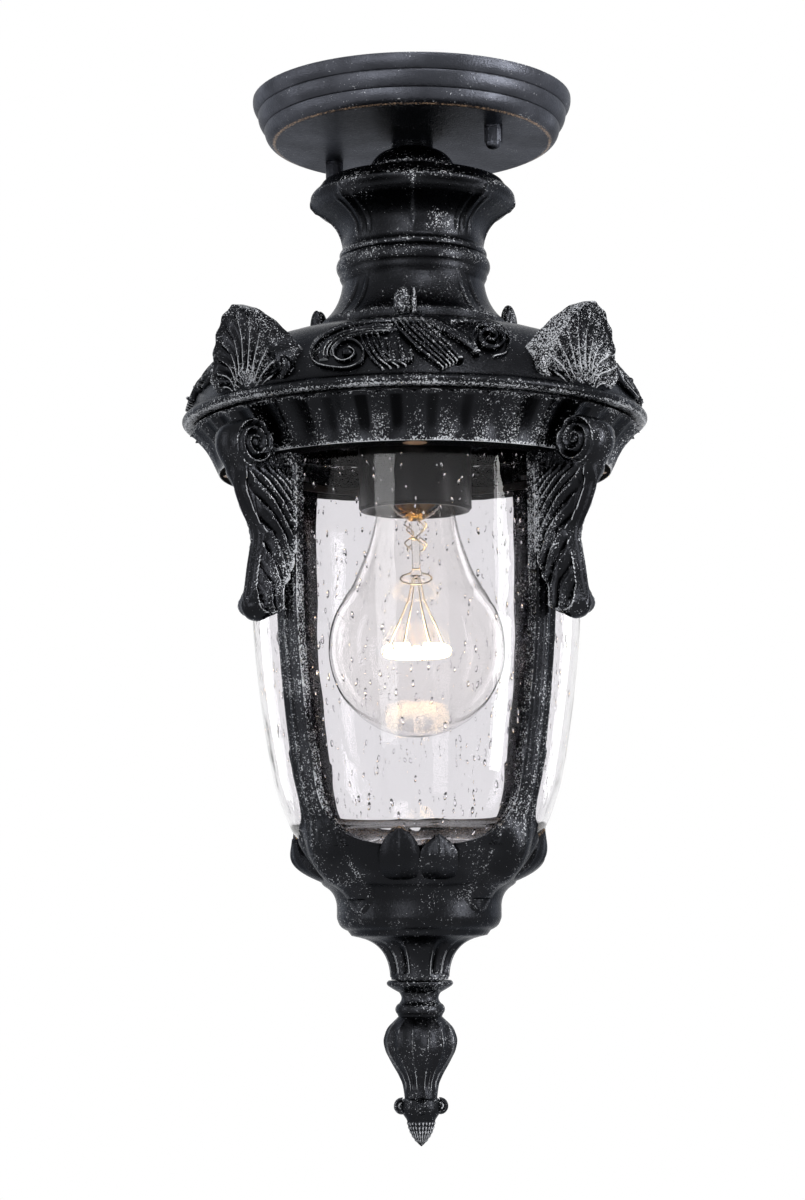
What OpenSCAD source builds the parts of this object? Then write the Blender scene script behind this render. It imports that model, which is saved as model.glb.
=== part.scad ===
// Porch ceiling lantern: a round canopy, a waisted neck, a domed roof with corner shells and
// relief scrolls, and a caged seeded glass jar with four scroll brackets, a basket and a finial.
// Millimetres. +Z is up, the origin is the centre of the canopy's rim on the ceiling.

/* [Canopy and strap] */
// Room between the strap's ends and the outside of the canopy's rim
strap_room = 5.5; // [3.5:0.1:9]
// How far the canopy's side steps in from its rim to its flat bottom
canopy_step = 7.9; // [6:0.1:10]
// Height of the canopy
canopy_h = 15.4; // [13:0.2:20]
// Wall of the canopy
canopy_wall = 1.2; // [0.8:0.1:1.6]
// Angle of the mounting strap in plan
strap_angle = 38; // [0:1:90]
// Width of the mounting strap
strap_w = 19; // [16:0.5:22]
// Thickness of the mounting strap
strap_t = 1.6; // [1.2:0.1:2]
// Length of the mounting strap
strap_l = 99; // [96:0.5:101]
// Distance between the outlet box screws
box_screw_spacing = 88.9; // [86:0.1:90]
// Radius of an outlet box screw hole
box_hole_r = 2.3; // [2:0.1:2.6]
// Distance between the canopy studs
stud_spacing = 70; // [66:0.5:74]
// Radius of a canopy stud
stud_r = 1.75; // [1.5:0.05:2]
// Width of a stud lock nut, corner to corner
lock_nut_w = 7.6; // [7:0.1:9]
// Height of a stud lock nut
lock_nut_h = 2.4; // [1.8:0.1:3]
// Radius of a cap nut
cap_nut_r = 3.1; // [2.9:0.1:4]
// Height of a cap nut
cap_nut_h = 7.2; // [6.8:0.1:9]
// Thickness of the washer under a cap nut
cap_washer_t = 0.7; // [0.5:0.1:1]
// How far a stud reaches into its cap nut
stud_reach = 4.6; // [3.5:0.1:5]

/* [Neck] */
// Outer radius of the threaded nipple
nipple_r = 5.1; // [4.8:0.05:5.5]
// Inner radius of the threaded nipple
nipple_bore_r = 3.3; // [3:0.1:3.6]
// Height at which the collar meets the neck's flange
collar_h = 9.8; // [8.5:0.1:11]
// Radius of the collar's foot
collar_r = 14.9; // [13:0.1:16]
// Widest radius of the neck's flange
flange_r = 35.7; // [33:0.1:38]
// Height from the flange's top to the roof
neck_h = 55.1; // [52:0.1:58]
// Radius of the neck's waist
neck_waist_r = 24.3; // [22:0.1:26]
// Radius of the neck's large bead
neck_bead_r = 26.5; // [25:0.1:28]
// Radius of the neck's foot on the roof
neck_foot_r = 32.3; // [30:0.1:34]
// Wall of the neck casting
neck_wall = 3; // [2.4:0.1:4]

/* [Roof] */
// How far the roof's rim stands out past the skirt
rim_overhang = 2.4; // [1:0.1:4]
// Height of the rim bead
rim_h = 3.6; // [3:0.1:4.5]
// Height from the top of the roof to the rim's lower face
roof_h = 35.1; // [33:0.1:37]
// Radius of the roof's shoulder
shoulder_r = 50; // [46:0.5:54]
// Wall of the roof casting
roof_wall = 3.2; // [2.6:0.1:4]
// How far the dome bulges from a straight slope
dome_bulge = 5; // [3:0.1:7]
// Radius of a screw post inside the roof
post_r = 4.5; // [4:0.1:5.5]
// Distance of a screw post from the ring plate's bore
post_inset = 4.5; // [4.3:0.1:5]

/* [Corner shells and relief scrolls] */
// Half width of a shell
shell_half_w = 19.5; // [16:0.5:22]
// Height of a shell
shell_h = 27; // [24:0.5:30]
// Thickness of a shell
shell_t = 4.6; // [3.5:0.1:6]
// Angle at which a shell leans outwards
shell_lean = 15; // [8:1:20]
// Number of flutes on a shell
shell_flutes = 7; // [5:2:9]
// Half width of a relief scroll
relief_half_w = 31; // [26:0.5:34]
// Thickness of a relief scroll's roll
relief_roll_r = 3; // [2.4:0.1:3.6]
// Distance of a relief scroll's middle inwards from the rim
relief_inset = 10.8; // [9.5:0.1:12]
// Height of a relief scroll's middle above the rim
relief_rise = 11.8; // [10.5:0.1:13]

/* [Skirt] */
// How far the skirt flares out from its lower to its top edge
skirt_flare = 10.1; // [9:0.1:11]
// Height of the skirt
skirt_h = 15; // [13:0.1:17]
// Gap between the rim and the skirt
skirt_gap = 0.9; // [0.6:0.1:1.5]
// Number of flutes round the skirt
skirt_flutes = 40; // [32:4:48]
// Depth of a flute
flute_depth = 1; // [0.5:0.1:1.4]
// Wall of the skirt
skirt_wall = 2.2; // [1.8:0.1:2.8]
// Gap between the glass and the ring plate's bore
ring_gap = 1.4; // [1.2:0.1:2]
// Width of the ring plate
ring_plate_w = 9.9; // [9.4:0.1:11]
// Thickness of the ring plate
ring_plate_t = 4; // [3:0.1:5]
// Radius of a cage screw
cage_screw_r = 2; // [1.6:0.1:2.5]

/* [Cage] */
// Width of a rib
rib_w = 9.6; // [8:0.1:11]
// Thickness of a rib
rib_t = 4.2; // [3.4:0.1:5]
// Radial gap between the glass and the cage
glass_gap = 0.6; // [0.4:0.05:1]
// Radius of the round lower end of a window
window_r = 34.4; // [30:0.2:36]
// Depth of the basket below the glass
basket_drop = 20.6; // [18:0.2:23]
// Height of the basket's lower cup
cup_h = 13; // [11:0.2:15]
// Radius of the basket's lower cup
cup_r = 27.6; // [25:0.1:30]
// Height of the cone under the cup
cone_h = 15.6; // [14:0.2:18]
// Radius of the cone's lower end
cone_r = 9.9; // [9:0.1:11]
// Radius of a basket leaf
leaf_r = 7; // [5:0.1:8]

/* [Scroll brackets] */
// Thickness of a bracket
bracket_t = 9.6; // [8:0.1:11]
// Radius of a bracket's volute
volute_r = 8; // [7:0.1:9]
// How far the volute's centre stands out past the skirt's top edge
volute_out = 1; // [0:0.1:2]
// Drop of the volute's centre below the rim
volute_drop = 14.6; // [13:0.1:16]
// Distance of a bracket's waist from the glass
bracket_waist = 17.2; // [15.5:0.1:19]
// Length of a bracket below the volute's centre
bracket_l = 56.4; // [52:0.2:60]
// Radius of a bracket screw
bracket_screw_r = 2; // [1.6:0.1:2.5]

/* [Glass] */
// Outer radius of the glass jar
glass_r = 55.6; // [54.5:0.1:55.8]
// Thickness of the glass
glass_t = 3; // [2.4:0.1:4]
// Height of the glass jar
glass_h = 144; // [142:0.5:146]
// Radius at which the jar's side turns into its flat bottom
jar_floor_r = 28; // [26:0.2:30]
// Height of the jar's straight part
glass_straight_h = 59; // [54:0.5:64]

/* [Socket and lamp] */
// Outer radius of the lamp socket
socket_r = 19.2; // [17.5:0.1:21]
// Drop of the socket's top below the roof's top
socket_drop = 12; // [10:0.2:14]
// Height of the socket's body
socket_body_h = 38.1; // [36:0.1:40]
// Height of the socket's cap
socket_cap_h = 14; // [13:0.2:16]
// Outer radius of the lamp's screw base
lamp_base_r = 13.1; // [12.9:0.05:13.2]
// Height of the lamp's screw base
lamp_base_h = 23.4; // [22:0.2:25]
// Radius of the lamp's globe
lamp_r = 30; // [28:0.5:31]
// Overall height of the lamp
lamp_h = 109.6; // [106:0.2:112]
// Wall of the lamp's glass
lamp_wall = 0.8; // [0.6:0.1:1]
// Drop of the lamp's stem below its screw base
lamp_stem_drop = 30; // [26:0.5:33]
// Radius of the lamp's stem
lamp_stem_r = 2.2; // [1.8:0.1:3]
// Radius of the ring that the lamp's filament makes
filament_r = 9; // [7:0.2:11]
// Radius of the lamp's filament
filament_wire_r = 0.45; // [0.3:0.05:0.6]

/* [Finial] */
// Radius of the finial's stud
finial_stud_r = 3; // [2.5:0.1:3.5]
// Radius of the finial's bulb
bulb_r = 12.3; // [11:0.1:13.5]
// Height of the finial
finial_h = 54.7; // [52:0.2:57]
// Thickness of the washer above the finial
finial_washer_t = 0.9; // [0.6:0.1:1.2]

/* [Hidden] */

// Radial clearance of a screw or stud in its hole
fit = 0.05;
// Clearance between parts that seat on each other
seat = 0.1;
// Clearance between curved parts that lie on each other
skin = 0.05;
// How far a cutting tool reaches past a face
over = 1;
// Sides of a round part
round_fn = 96;

// Radii that follow from the glass outwards, and from the strap to the canopy
ring_bore_r = glass_r + ring_gap;
skirt_low_r = ring_bore_r + ring_plate_w;
skirt_top_r = skirt_low_r + skirt_flare;
rim_r = skirt_top_r + rim_overhang;
post_ring_r = ring_bore_r + post_inset;
volute_x = skirt_top_r + volute_out;
bracket_waist_x = glass_r + bracket_waist;
canopy_r = strap_l / 2 + strap_room;
canopy_floor_r = canopy_r - canopy_step;

// Heights of the stack, from the ceiling down
canopy_z = -canopy_h;
flange_top_z = canopy_z - collar_h;
roof_top_z = flange_top_z - neck_h;
rim_low_z = roof_top_z - roof_h;
rim_top_z = rim_low_z + rim_h;
skirt_top_z = rim_low_z - skirt_gap;
ring_low_z = skirt_top_z - skirt_h;
ring_top_z = ring_low_z + ring_plate_t;
glass_top_z = ring_low_z + 10.3;
glass_low_z = glass_top_z - glass_h;
cone_top_z = glass_low_z - basket_drop;
cone_low_z = cone_top_z - cone_h;
finial_top_z = cone_low_z - finial_washer_t - 2 * seat;
socket_top_z = roof_top_z - socket_drop;
socket_cap_low_z = socket_top_z - socket_cap_h;
socket_low_z = socket_cap_low_z - socket_body_h;
socket_floor = 3;
lamp_top_z = socket_cap_low_z - socket_floor - 2.1;
lamp_low_z = lamp_top_z - lamp_h;

// Radius and bend of an insulated lead, and its distance from the axis inside the nipple
lead_r = 1.1;
lead_bend = 3.4;
lead_low_bend = 2.2;
lead_off = nipple_bore_r / 2 - 0.15;
// Angles of the black and the white lead, square to the strap
lead_angles = [90 - strap_angle, 270 - strap_angle];

// Points of a bowed line from p to q in the (radius, height) plane. A positive sagitta bulges
// away from the axis on a line that runs down.
function bow(p, q, s, n = 6) = [for (i = [0:n])
    let (t = i / n, d = q - p)
    p + d * t + s * 4 * t * (1 - t) * [-d[1], d[0]] / norm(d)];
function reversed(list) = [for (i = [len(list) - 1:-1:0]) list[i]];
function shifted(list, dr, dz = 0) = [for (p = list) [max(p[0] + dr, 0), p[1] + dz]];

module revolve(points) {
    rotate_extrude($fn = round_fn) polygon(points);
}

module at_angle(a) {
    rotate([0, 0, a]) children();
}

// ---------------------------------------------------------------- mounting hardware

lock_nut_z = -strap_t - lock_nut_h;
stud_low_z = canopy_z - cap_washer_t - stud_reach;
ground_x = 21;
ground_screw_r = 1.9;
ground_lead_r = 0.6;
ground_head_z = -strap_t - 2 * ground_lead_r - 2 * seat;

module mounting_strap() {
    color("gainsboro") difference() {
        intersection() {
            translate([-strap_l / 2, -strap_w / 2, -strap_t]) cube([strap_l, strap_w, strap_t]);
            translate([0, 0, -strap_t - over])
                cylinder(r = strap_l / 2, h = strap_t + 2 * over, $fn = round_fn);
        }
        for (x = [-1, 1] * box_screw_spacing / 2)
            translate([x, 0, -strap_t - over])
                cylinder(r = box_hole_r, h = strap_t + 2 * over, $fn = 32);
        for (x = [-1, 1] * stud_spacing / 2)
            translate([x, 0, -strap_t - over])
                cylinder(r = stud_r + fit, h = strap_t + 2 * over, $fn = 32);
        translate([ground_x, 0, -strap_t - over])
            cylinder(r = ground_screw_r + fit, h = strap_t + 2 * over, $fn = 32);
        translate([0, 0, -strap_t - over]) cylinder(r = nipple_r + fit, h = strap_t + 2 * over, $fn = 48);
    }
}

module strap_studs() {
    color("silver") for (x = [-1, 1] * stud_spacing / 2)
        translate([x, 0, stud_low_z]) cylinder(r = stud_r, h = -seat - stud_low_z, $fn = 32);
}

module stud_lock_nuts() {
    color("silver") for (x = [-1, 1] * stud_spacing / 2) translate([x, 0, lock_nut_z]) difference() {
        cylinder(r = lock_nut_w / 2, h = lock_nut_h, $fn = 6);
        translate([0, 0, -over]) cylinder(r = stud_r + fit, h = lock_nut_h + 2 * over, $fn = 32);
    }
}

module ground_screw() {
    head_h = 2.6;
    color("seagreen") translate([ground_x, 0, 0]) {
        translate([0, 0, ground_head_z]) cylinder(r = ground_screw_r, h = -seat - ground_head_z, $fn = 32);
        translate([0, 0, ground_head_z - head_h]) cylinder(r = ground_head_r, h = head_h, $fn = 6);
    }
}

// The bare ground wire loops round its screw, leaves it sideways, drops past the screw's head and
// runs into the green wire nut beside the strap.
ground_head_r = 3.6;
ground_turn_y = ground_head_r + ground_lead_r + 0.4;
loop_r = ground_screw_r + ground_lead_r + fit;
loop_z = -strap_t - ground_lead_r - seat;
wire_z = -6.2;
wire_nut_r = 4.2;
wire_nut_tip_r = 2.8;
wire_nut_l = 15;
wire_nut_x = strap_w;
wire_nut_hole_h = 9;
wire_in_nut = wire_nut_hole_h - 1;
ground_nut_y = strap_w / 2 + 1;

module ground_lead() {
    color("peru") translate([ground_x, 0, 0]) {
        translate([0, 0, loop_z]) rotate_extrude($fn = 48)
            translate([loop_r, 0]) circle(ground_lead_r, $fn = 16);
        translate([loop_r, 0, loop_z]) rotate([-90, 0, 0])
            cylinder(r = ground_lead_r, h = ground_turn_y, $fn = 16);
        translate([loop_r, ground_turn_y, loop_z]) sphere(ground_lead_r, $fn = 24);
        translate([loop_r, ground_turn_y, wire_z]) {
            cylinder(r = ground_lead_r, h = loop_z - wire_z, $fn = 16);
            sphere(ground_lead_r, $fn = 24);
            rotate([-90, 0, 0])
                cylinder(r = ground_lead_r, h = ground_nut_y + wire_in_nut - ground_turn_y, $fn = 16);
        }
    }
}

// A wire nut whose open end is at the origin and whose tip points along +X.
module wire_nut(hole_r) {
    rotate([0, 90, 0]) difference() {
        cylinder(r1 = wire_nut_r, r2 = wire_nut_tip_r, h = wire_nut_l, $fn = 32);
        translate([0, 0, -over]) cylinder(r = hole_r, h = wire_nut_hole_h + over, $fn = 24);
    }
}

module wire_nuts() {
    color("orange") for (a = lead_angles) at_angle(a)
        translate([wire_nut_x, 0, wire_z]) wire_nut(lead_r + skin);
    color("seagreen") at_angle(-strap_angle)
        translate([ground_x + loop_r, ground_nut_y, wire_z]) at_angle(90) wire_nut(ground_lead_r + skin);
}

// An insulated lead leaves its terminal, turns up through the nipple, bends over the nipple's
// lip and runs into a wire nut.
terminal_x = socket_r / 2;
terminal_h = 1.6;
terminal_top_z = socket_cap_low_z + skin + terminal_h;
lead_low_z = terminal_top_z + skin + lead_r;

module lead_turn(bend, a0) {
    rotate([90, 0, 0]) rotate([0, 0, a0]) rotate_extrude(angle = 90, $fn = 48)
        translate([bend, 0]) circle(lead_r, $fn = 24);
}

module lead(a, shade) {
    top_z = wire_z - lead_bend;
    low_z = lead_low_z + lead_low_bend;
    low_x = lead_off + lead_low_bend;
    top_x = lead_off + lead_bend;
    color(shade) at_angle(a) {
        translate([low_x, 0, lead_low_z]) rotate([0, 90, 0])
            cylinder(r = lead_r, h = terminal_x + 1 - low_x, $fn = 24);
        translate([low_x, 0, low_z]) lead_turn(lead_low_bend, 180);
        translate([lead_off, 0, low_z]) cylinder(r = lead_r, h = top_z - low_z, $fn = 24);
        translate([top_x, 0, top_z]) lead_turn(lead_bend, 90);
        translate([top_x, 0, wire_z]) rotate([0, 90, 0])
            cylinder(r = lead_r, h = wire_nut_x + wire_in_nut - top_x, $fn = 24);
    }
}

// ---------------------------------------------------------------- canopy and its nuts

// Three rounded bands step in towards the canopy's floor.
band_bulge = 0.7;
canopy_side = concat(
    bow([canopy_r, 0], [canopy_r - 1.9, canopy_z * 0.32], band_bulge),
    bow([canopy_r - 1.7, canopy_z * 0.34], [canopy_r - 4.1, canopy_z * 0.67], band_bulge),
    bow([canopy_r - 3.9, canopy_z * 0.69], [canopy_floor_r, canopy_z], 1.1)
);

module canopy() {
    floor_z = canopy_z + canopy_wall;
    inner = [for (p = canopy_side) if (p[1] > floor_z) [p[0] - canopy_wall, p[1]]];
    color("darkslategray") difference() {
        revolve(concat(canopy_side, [[0, canopy_z], [0, floor_z], [canopy_floor_r - 0.5, floor_z]],
            reversed(inner)));
        translate([0, 0, canopy_z - over])
            cylinder(r = nipple_r + fit, h = canopy_wall + 2 * over, $fn = 48);
        at_angle(-strap_angle) for (x = [-1, 1] * stud_spacing / 2)
            translate([x, 0, canopy_z - over])
                cylinder(r = stud_r + fit, h = canopy_wall + 2 * over, $fn = 32);
    }
}

cap_nut_z = canopy_z - cap_washer_t - 2 * seat;

module cap_washer(side) {
    color("black") at_angle(-strap_angle)
        translate([side * stud_spacing / 2, 0, cap_nut_z + seat]) difference() {
            cylinder(r = cap_nut_r, h = cap_washer_t, $fn = 48);
            translate([0, 0, -over]) cylinder(r = stud_r + fit, h = cap_washer_t + 2 * over, $fn = 32);
        }
}

module cap_nut(side) {
    dome_h = 2.4;
    body_h = cap_nut_h - dome_h;
    color("black") at_angle(-strap_angle) translate([side * stud_spacing / 2, 0, cap_nut_z]) difference() {
        union() {
            translate([0, 0, -body_h]) cylinder(r = cap_nut_r, h = body_h, $fn = 12);
            revolve(concat([[0, -body_h + skin]], [[cap_nut_r - 0.35, -body_h + skin]],
                bow([cap_nut_r - 0.35, -body_h], [0, -cap_nut_h], 0.9)));
        }
        translate([0, 0, -stud_reach - 1]) cylinder(r = stud_r + fit, h = stud_reach + 1 + over, $fn = 32);
    }
}

// ---------------------------------------------------------------- nipple, collar and neck

nipple_top_z = canopy_z + 6;
nipple_low_z = socket_top_z - 6;
nipple_washer_t = 0.8;
nipple_nut_h = 2.6;

module nipple() {
    color("goldenrod") translate([0, 0, nipple_low_z]) difference() {
        cylinder(r = nipple_r, h = nipple_top_z - nipple_low_z, $fn = 64);
        translate([0, 0, -over])
            cylinder(r = nipple_bore_r, h = nipple_top_z - nipple_low_z + 2 * over, $fn = 48);
    }
}

module nipple_washer() {
    color("silver") translate([0, 0, canopy_z + canopy_wall]) difference() {
        cylinder(r = 8.6, h = nipple_washer_t, $fn = 64);
        translate([0, 0, -over]) cylinder(r = nipple_r + fit, h = nipple_washer_t + 2 * over, $fn = 48);
    }
}

module nipple_nut() {
    color("goldenrod") translate([0, 0, canopy_z + canopy_wall + nipple_washer_t]) difference() {
        cylinder(r = 8.1, h = nipple_nut_h, $fn = 6);
        translate([0, 0, -over]) cylinder(r = nipple_r + fit, h = nipple_nut_h + 2 * over, $fn = 48);
    }
}

module collar() {
    side = concat([[7.2, canopy_z], [7.2, canopy_z - 2]],
        bow([8.4, canopy_z - 2.6], [collar_r, flange_top_z + 0.8], 1.3),
        [[collar_r, flange_top_z]]);
    color("darkslategray") revolve(concat([[nipple_r + fit, canopy_z]], side,
        [[nipple_r + fit, flange_top_z]]));
}

neck_side = concat(
    [[collar_r + 0.3, flange_top_z]],
    [[flange_r - 4.2, flange_top_z - 5.1]],
    bow([flange_r - 2.4, flange_top_z - 7.6], [flange_r - 0.3, flange_top_z - 12.6], 1),
    bow([flange_r - 2, flange_top_z - 14.6], [neck_waist_r, flange_top_z - 27.4], -2.4, 10),
    bow([neck_waist_r + 0.6, flange_top_z - 28.6], [neck_waist_r + 0.6, flange_top_z - 31], 0.5, 4),
    bow([neck_bead_r - 1, flange_top_z - 31.4], [neck_bead_r - 1, flange_top_z - 36.6], 1, 6),
    [[neck_waist_r + 1, flange_top_z - 38]],
    [[neck_waist_r + 0.1, flange_top_z - 40]],
    bow([neck_waist_r + 0.5, flange_top_z - 42.3], [neck_foot_r - 0.4, roof_top_z + 0.9], -1.2, 8),
    [[neck_foot_r, roof_top_z]]
);

// The casting is hollow under its top web and open at the foot.
module neck() {
    web_z = flange_top_z - neck_wall - 5;
    inside = shifted([for (p = neck_side) if (p[1] < web_z) p], -neck_wall);
    color("darkslategray") revolve(concat([[nipple_r + fit, flange_top_z]], neck_side,
        reversed(inside), [[nipple_r + fit, inside[0][1]]]));
}

// ---------------------------------------------------------------- roof

shoulder_z = roof_top_z - 6.9;
dome_foot = [rim_r - 2.6, rim_top_z + 0.4];
dome_side = concat(
    [[neck_foot_r + 0.4, roof_top_z]],
    bow([neck_foot_r + 0.8, roof_top_z - 2.4], [shoulder_r, shoulder_z], -0.6, 4),
    bow([shoulder_r + 1, shoulder_z - 0.6], dome_foot, dome_bulge, 10)
);
rim_side = bow([rim_r - 1.5, rim_top_z], [rim_r - 1.5, rim_low_z], 1.5, 8);
dome_inside = concat(
    [[neck_foot_r - 2, roof_top_z - roof_wall - 2]],
    [[shoulder_r - 1, shoulder_z - roof_wall]],
    bow([shoulder_r - 0.5, shoulder_z - roof_wall - 0.6], dome_foot + [-roof_wall, -1.6],
        dome_bulge - 0.3, 8)
);
post_angles = [0, 90, 180, 270];
post_low_z = ring_top_z + 3 * seat;
post_hole_h = 15;

module dome_block(grow = 0) {
    revolve(concat([[0, roof_top_z + grow]], [[neck_foot_r, roof_top_z + grow]],
        [for (p = dome_side) p + [grow, grow] * 0.7], [for (p = rim_side) p + [grow, 0]],
        [[0, rim_low_z]]));
}

module roof() {
    color("darkslategray") difference() {
        union() {
            revolve(concat([[nipple_r + fit, roof_top_z]], dome_side, rim_side,
                [[rim_r - 4.4, rim_low_z]], reversed(dome_inside),
                [[nipple_r + fit, roof_top_z - roof_wall - 2]]));
            intersection() {
                for (a = post_angles) at_angle(a) translate([post_ring_r, 0, post_low_z])
                    cylinder(r = post_r, h = roof_top_z - post_low_z, $fn = 48);
                revolve(concat([[0, shoulder_z - 1]],
                    [for (p = dome_side) if (p[0] > shoulder_r) p - [0.3, 0.3]],
                    [[rim_r - 3, post_low_z - over], [0, post_low_z - over]]));
            }
        }
        for (a = post_angles) at_angle(a) translate([post_ring_r, 0, post_low_z - over])
            cylinder(r = cage_screw_r + fit, h = post_hole_h + over, $fn = 32);
    }
}

// ---------------------------------------------------------------- corner shells

shell_x = rim_r - 3.6;
shell_foot_z = rim_top_z + 0.7;
shell_fan_angle = 126;
shell_root = 5;
shell_scallop = 1.1;

// The fan's edge: an egg-shaped arch, scalloped between its flutes.
function shell_reach(a) = norm([shell_half_w * sin(a), (shell_h + shell_root) * cos(a)])
    - shell_scallop * pow(sin(180 * shell_flutes * a / shell_fan_angle + 90), 2);
shell_outline = concat(
    [for (i = [0:4 * shell_flutes])
        let (a = shell_fan_angle * (i / (4 * shell_flutes) - 0.5), reach = shell_reach(a))
        [reach * sin(a), reach * cos(a) - shell_root]],
    [[shell_half_w * 0.8, -2], [-shell_half_w * 0.8, -2]]
);

module shell_fan() {
    groove_r = 1.5;
    rotate([90, 0, 90]) difference() {
        linear_extrude(height = shell_t) polygon(shell_outline);
        for (i = [0:shell_flutes]) translate([0, -shell_root, shell_t + 0.5])
            rotate([0, 0, shell_fan_angle * (i / shell_flutes - 0.5)]) rotate([-90, 0, 0])
                translate([0, 0, 9]) cylinder(r = groove_r, h = shell_h, $fn = 24);
    }
}

module shell_ornament(a) {
    color("dimgray") at_angle(a) difference() {
        union() {
            translate([shell_x - shell_t / 2, 0, shell_foot_z]) rotate([0, shell_lean, 0]) shell_fan();
            translate([shell_x - 9, -shell_half_w * 0.55, shell_foot_z])
                cube([9, shell_half_w * 1.1, shell_h * 0.4]);
        }
        dome_block(skin);
    }
}

// ---------------------------------------------------------------- relief scrolls

// The relief lies on the dome's slope, where its tangent plane is tilted by relief_tilt.
relief_x = rim_r - relief_inset;
relief_z = rim_top_z + relief_rise;
relief_tilt = 46;

module roll(x, y, r, a0, turn) {
    translate([x, y, 0]) rotate([0, 0, a0]) rotate_extrude(angle = turn, $fn = 48)
        translate([r, 0]) circle(relief_roll_r, $fn = 20);
}

// Outline of the plaque under the rolls, along the slope.
relief_outline = concat(
    bow([-relief_half_w, 1], [-relief_half_w + 12, 8.6], 3.4, 5),
    bow([-relief_half_w + 16, 8.4], [2, 10], -1.6, 3),
    bow([4, 10], [relief_half_w - 12, 2], -1, 3),
    bow([relief_half_w - 11, 4], [relief_half_w, 2], 4.6, 6),
    bow([relief_half_w, 0], [relief_half_w - 10, -6.4], 2.4, 4),
    bow([relief_half_w - 14, -8], [-relief_half_w + 18, -9], 1.2, 4),
    bow([-relief_half_w + 14, -8.6], [-relief_half_w, -1], 3.2, 5)
);

module relief_plaque() {
    plaque_h = 2;
    intersection() {
        translate([0, 0, -6]) linear_extrude(height = 14) polygon(relief_outline);
        rotate([0, 0, -90]) rotate([0, -relief_tilt, 0]) translate([-relief_x, 0, -relief_z])
            dome_block(plaque_h);
    }
}

module relief_scroll(a) {
    leaves = 4;
    color("dimgray") at_angle(a) difference() {
        translate([relief_x, 0, relief_z]) rotate([0, relief_tilt, 0]) rotate([0, 0, 90]) {
            relief_plaque();
            roll(-relief_half_w + 10.5, -1, 7.4, 60, 210);
            roll(relief_half_w - 8.4, 0, 5.4, 170, 230);
            for (i = [0:leaves - 1]) translate([-8 + 4.4 * i, 5 - 2 * i, 0]) rotate([0, 90, -28])
                cylinder(r1 = relief_roll_r * 0.9, r2 = relief_roll_r * 0.5, h = 16, $fn = 20);
            for (i = [-1:1]) translate([-7 + 4.6 * i, -5, 0]) sphere(relief_roll_r, $fn = 32);
        }
        dome_block(skin);
    }
}

// ---------------------------------------------------------------- socket

socket_wall = 1.6;
shell_out_r = lamp_base_r + 0.9;

module socket_cap() {
    color("black") revolve(concat(
        [[nipple_r + fit, socket_top_z], [8.4, socket_top_z]],
        bow([9.4, socket_top_z - 1], [socket_r, socket_cap_low_z + 5], 2.2, 6),
        [[socket_r, socket_cap_low_z], [socket_r - socket_wall, socket_cap_low_z]],
        [[socket_r - socket_wall, socket_cap_low_z + 4.5]],
        bow([socket_r - socket_wall - 0.4, socket_cap_low_z + 5.5], [9, socket_top_z - 4.4], -1.6, 5),
        [[8.4, socket_top_z - 7], [nipple_r + fit, socket_top_z - 7]]));
}

module socket_body() {
    mouth_r = socket_r - 1.8;
    color("black") revolve([
        [0, socket_cap_low_z], [socket_r, socket_cap_low_z], [socket_r, socket_low_z + 1],
        [socket_r - 0.8, socket_low_z], [mouth_r, socket_low_z],
        [shell_out_r + skin, socket_low_z + 4], [shell_out_r + skin, socket_cap_low_z - socket_floor],
        [0, socket_cap_low_z - socket_floor]
    ]);
}

module socket_screw_shell() {
    top = socket_cap_low_z - socket_floor - seat;
    color("peru") translate([0, 0, socket_low_z + 4]) difference() {
        cylinder(r = shell_out_r, h = top - socket_low_z - 4, $fn = 64);
        translate([0, 0, -over])
            cylinder(r = lamp_base_r + 0.25, h = top - socket_low_z - 4 - 0.8 + over, $fn = 64);
        cylinder(r = 6, h = 60, $fn = 48);
    }
}

// A bent brass tongue meets the lamp's tip.
contact_z = lamp_top_z + 3 * seat;
contact_w = 4.4;
contact_t = 0.6;

module socket_contact() {
    color("goldenrod") {
        translate([-contact_w / 2, -contact_w / 2, contact_z]) cube([contact_w, contact_w, contact_t]);
        translate([-contact_w / 2, -contact_w / 2, contact_z])
            cube([contact_t, contact_w, socket_cap_low_z - socket_floor - contact_z]);
    }
}

module terminal_screws() {
    color("goldenrod") for (a = lead_angles) at_angle(a)
        translate([terminal_x, 0, socket_cap_low_z + skin]) cylinder(r = 2.6, h = terminal_h, $fn = 32);
}

// ---------------------------------------------------------------- skirt and ring plate

skirt_turn_r = skirt_low_r + 3.3;
skirt_outside = concat(
    bow([skirt_top_r, 0], [skirt_turn_r, -skirt_h * 0.5], 0.7, 4),
    bow([skirt_turn_r - 0.5, -skirt_h * 0.6], [skirt_low_r, -skirt_h], 0.2, 3)
);
skirt_inside = [
    [skirt_low_r - 0.3, -skirt_h], [skirt_low_r - 0.3, -skirt_h + ring_plate_t + 0.5],
    [skirt_turn_r - skirt_wall, -skirt_h * 0.5], [skirt_top_r - skirt_wall, 0]
];
flute_steps = 4;
edge_wave = 1.1;

// A column of the skirt at angle a: flutes are scooped out of the outside, and the top edge
// rises in an arch over each flute.
function flute(a) = abs(sin(a * skirt_flutes / 2));
function column_z(p, scoop) = skirt_top_z + p[1] - (p[1] == 0 ? edge_wave * (1 - scoop) : 0);
function skirt_column(a) = let (scoop = flute(a)) concat(
    [for (p = skirt_outside) let (fade = 1 - pow(-p[1] / skirt_h, 4))
        [p[0] - flute_depth * scoop * fade, column_z(p, scoop)]],
    [for (p = skirt_inside) [p[0], column_z(p, scoop)]]
);

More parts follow.
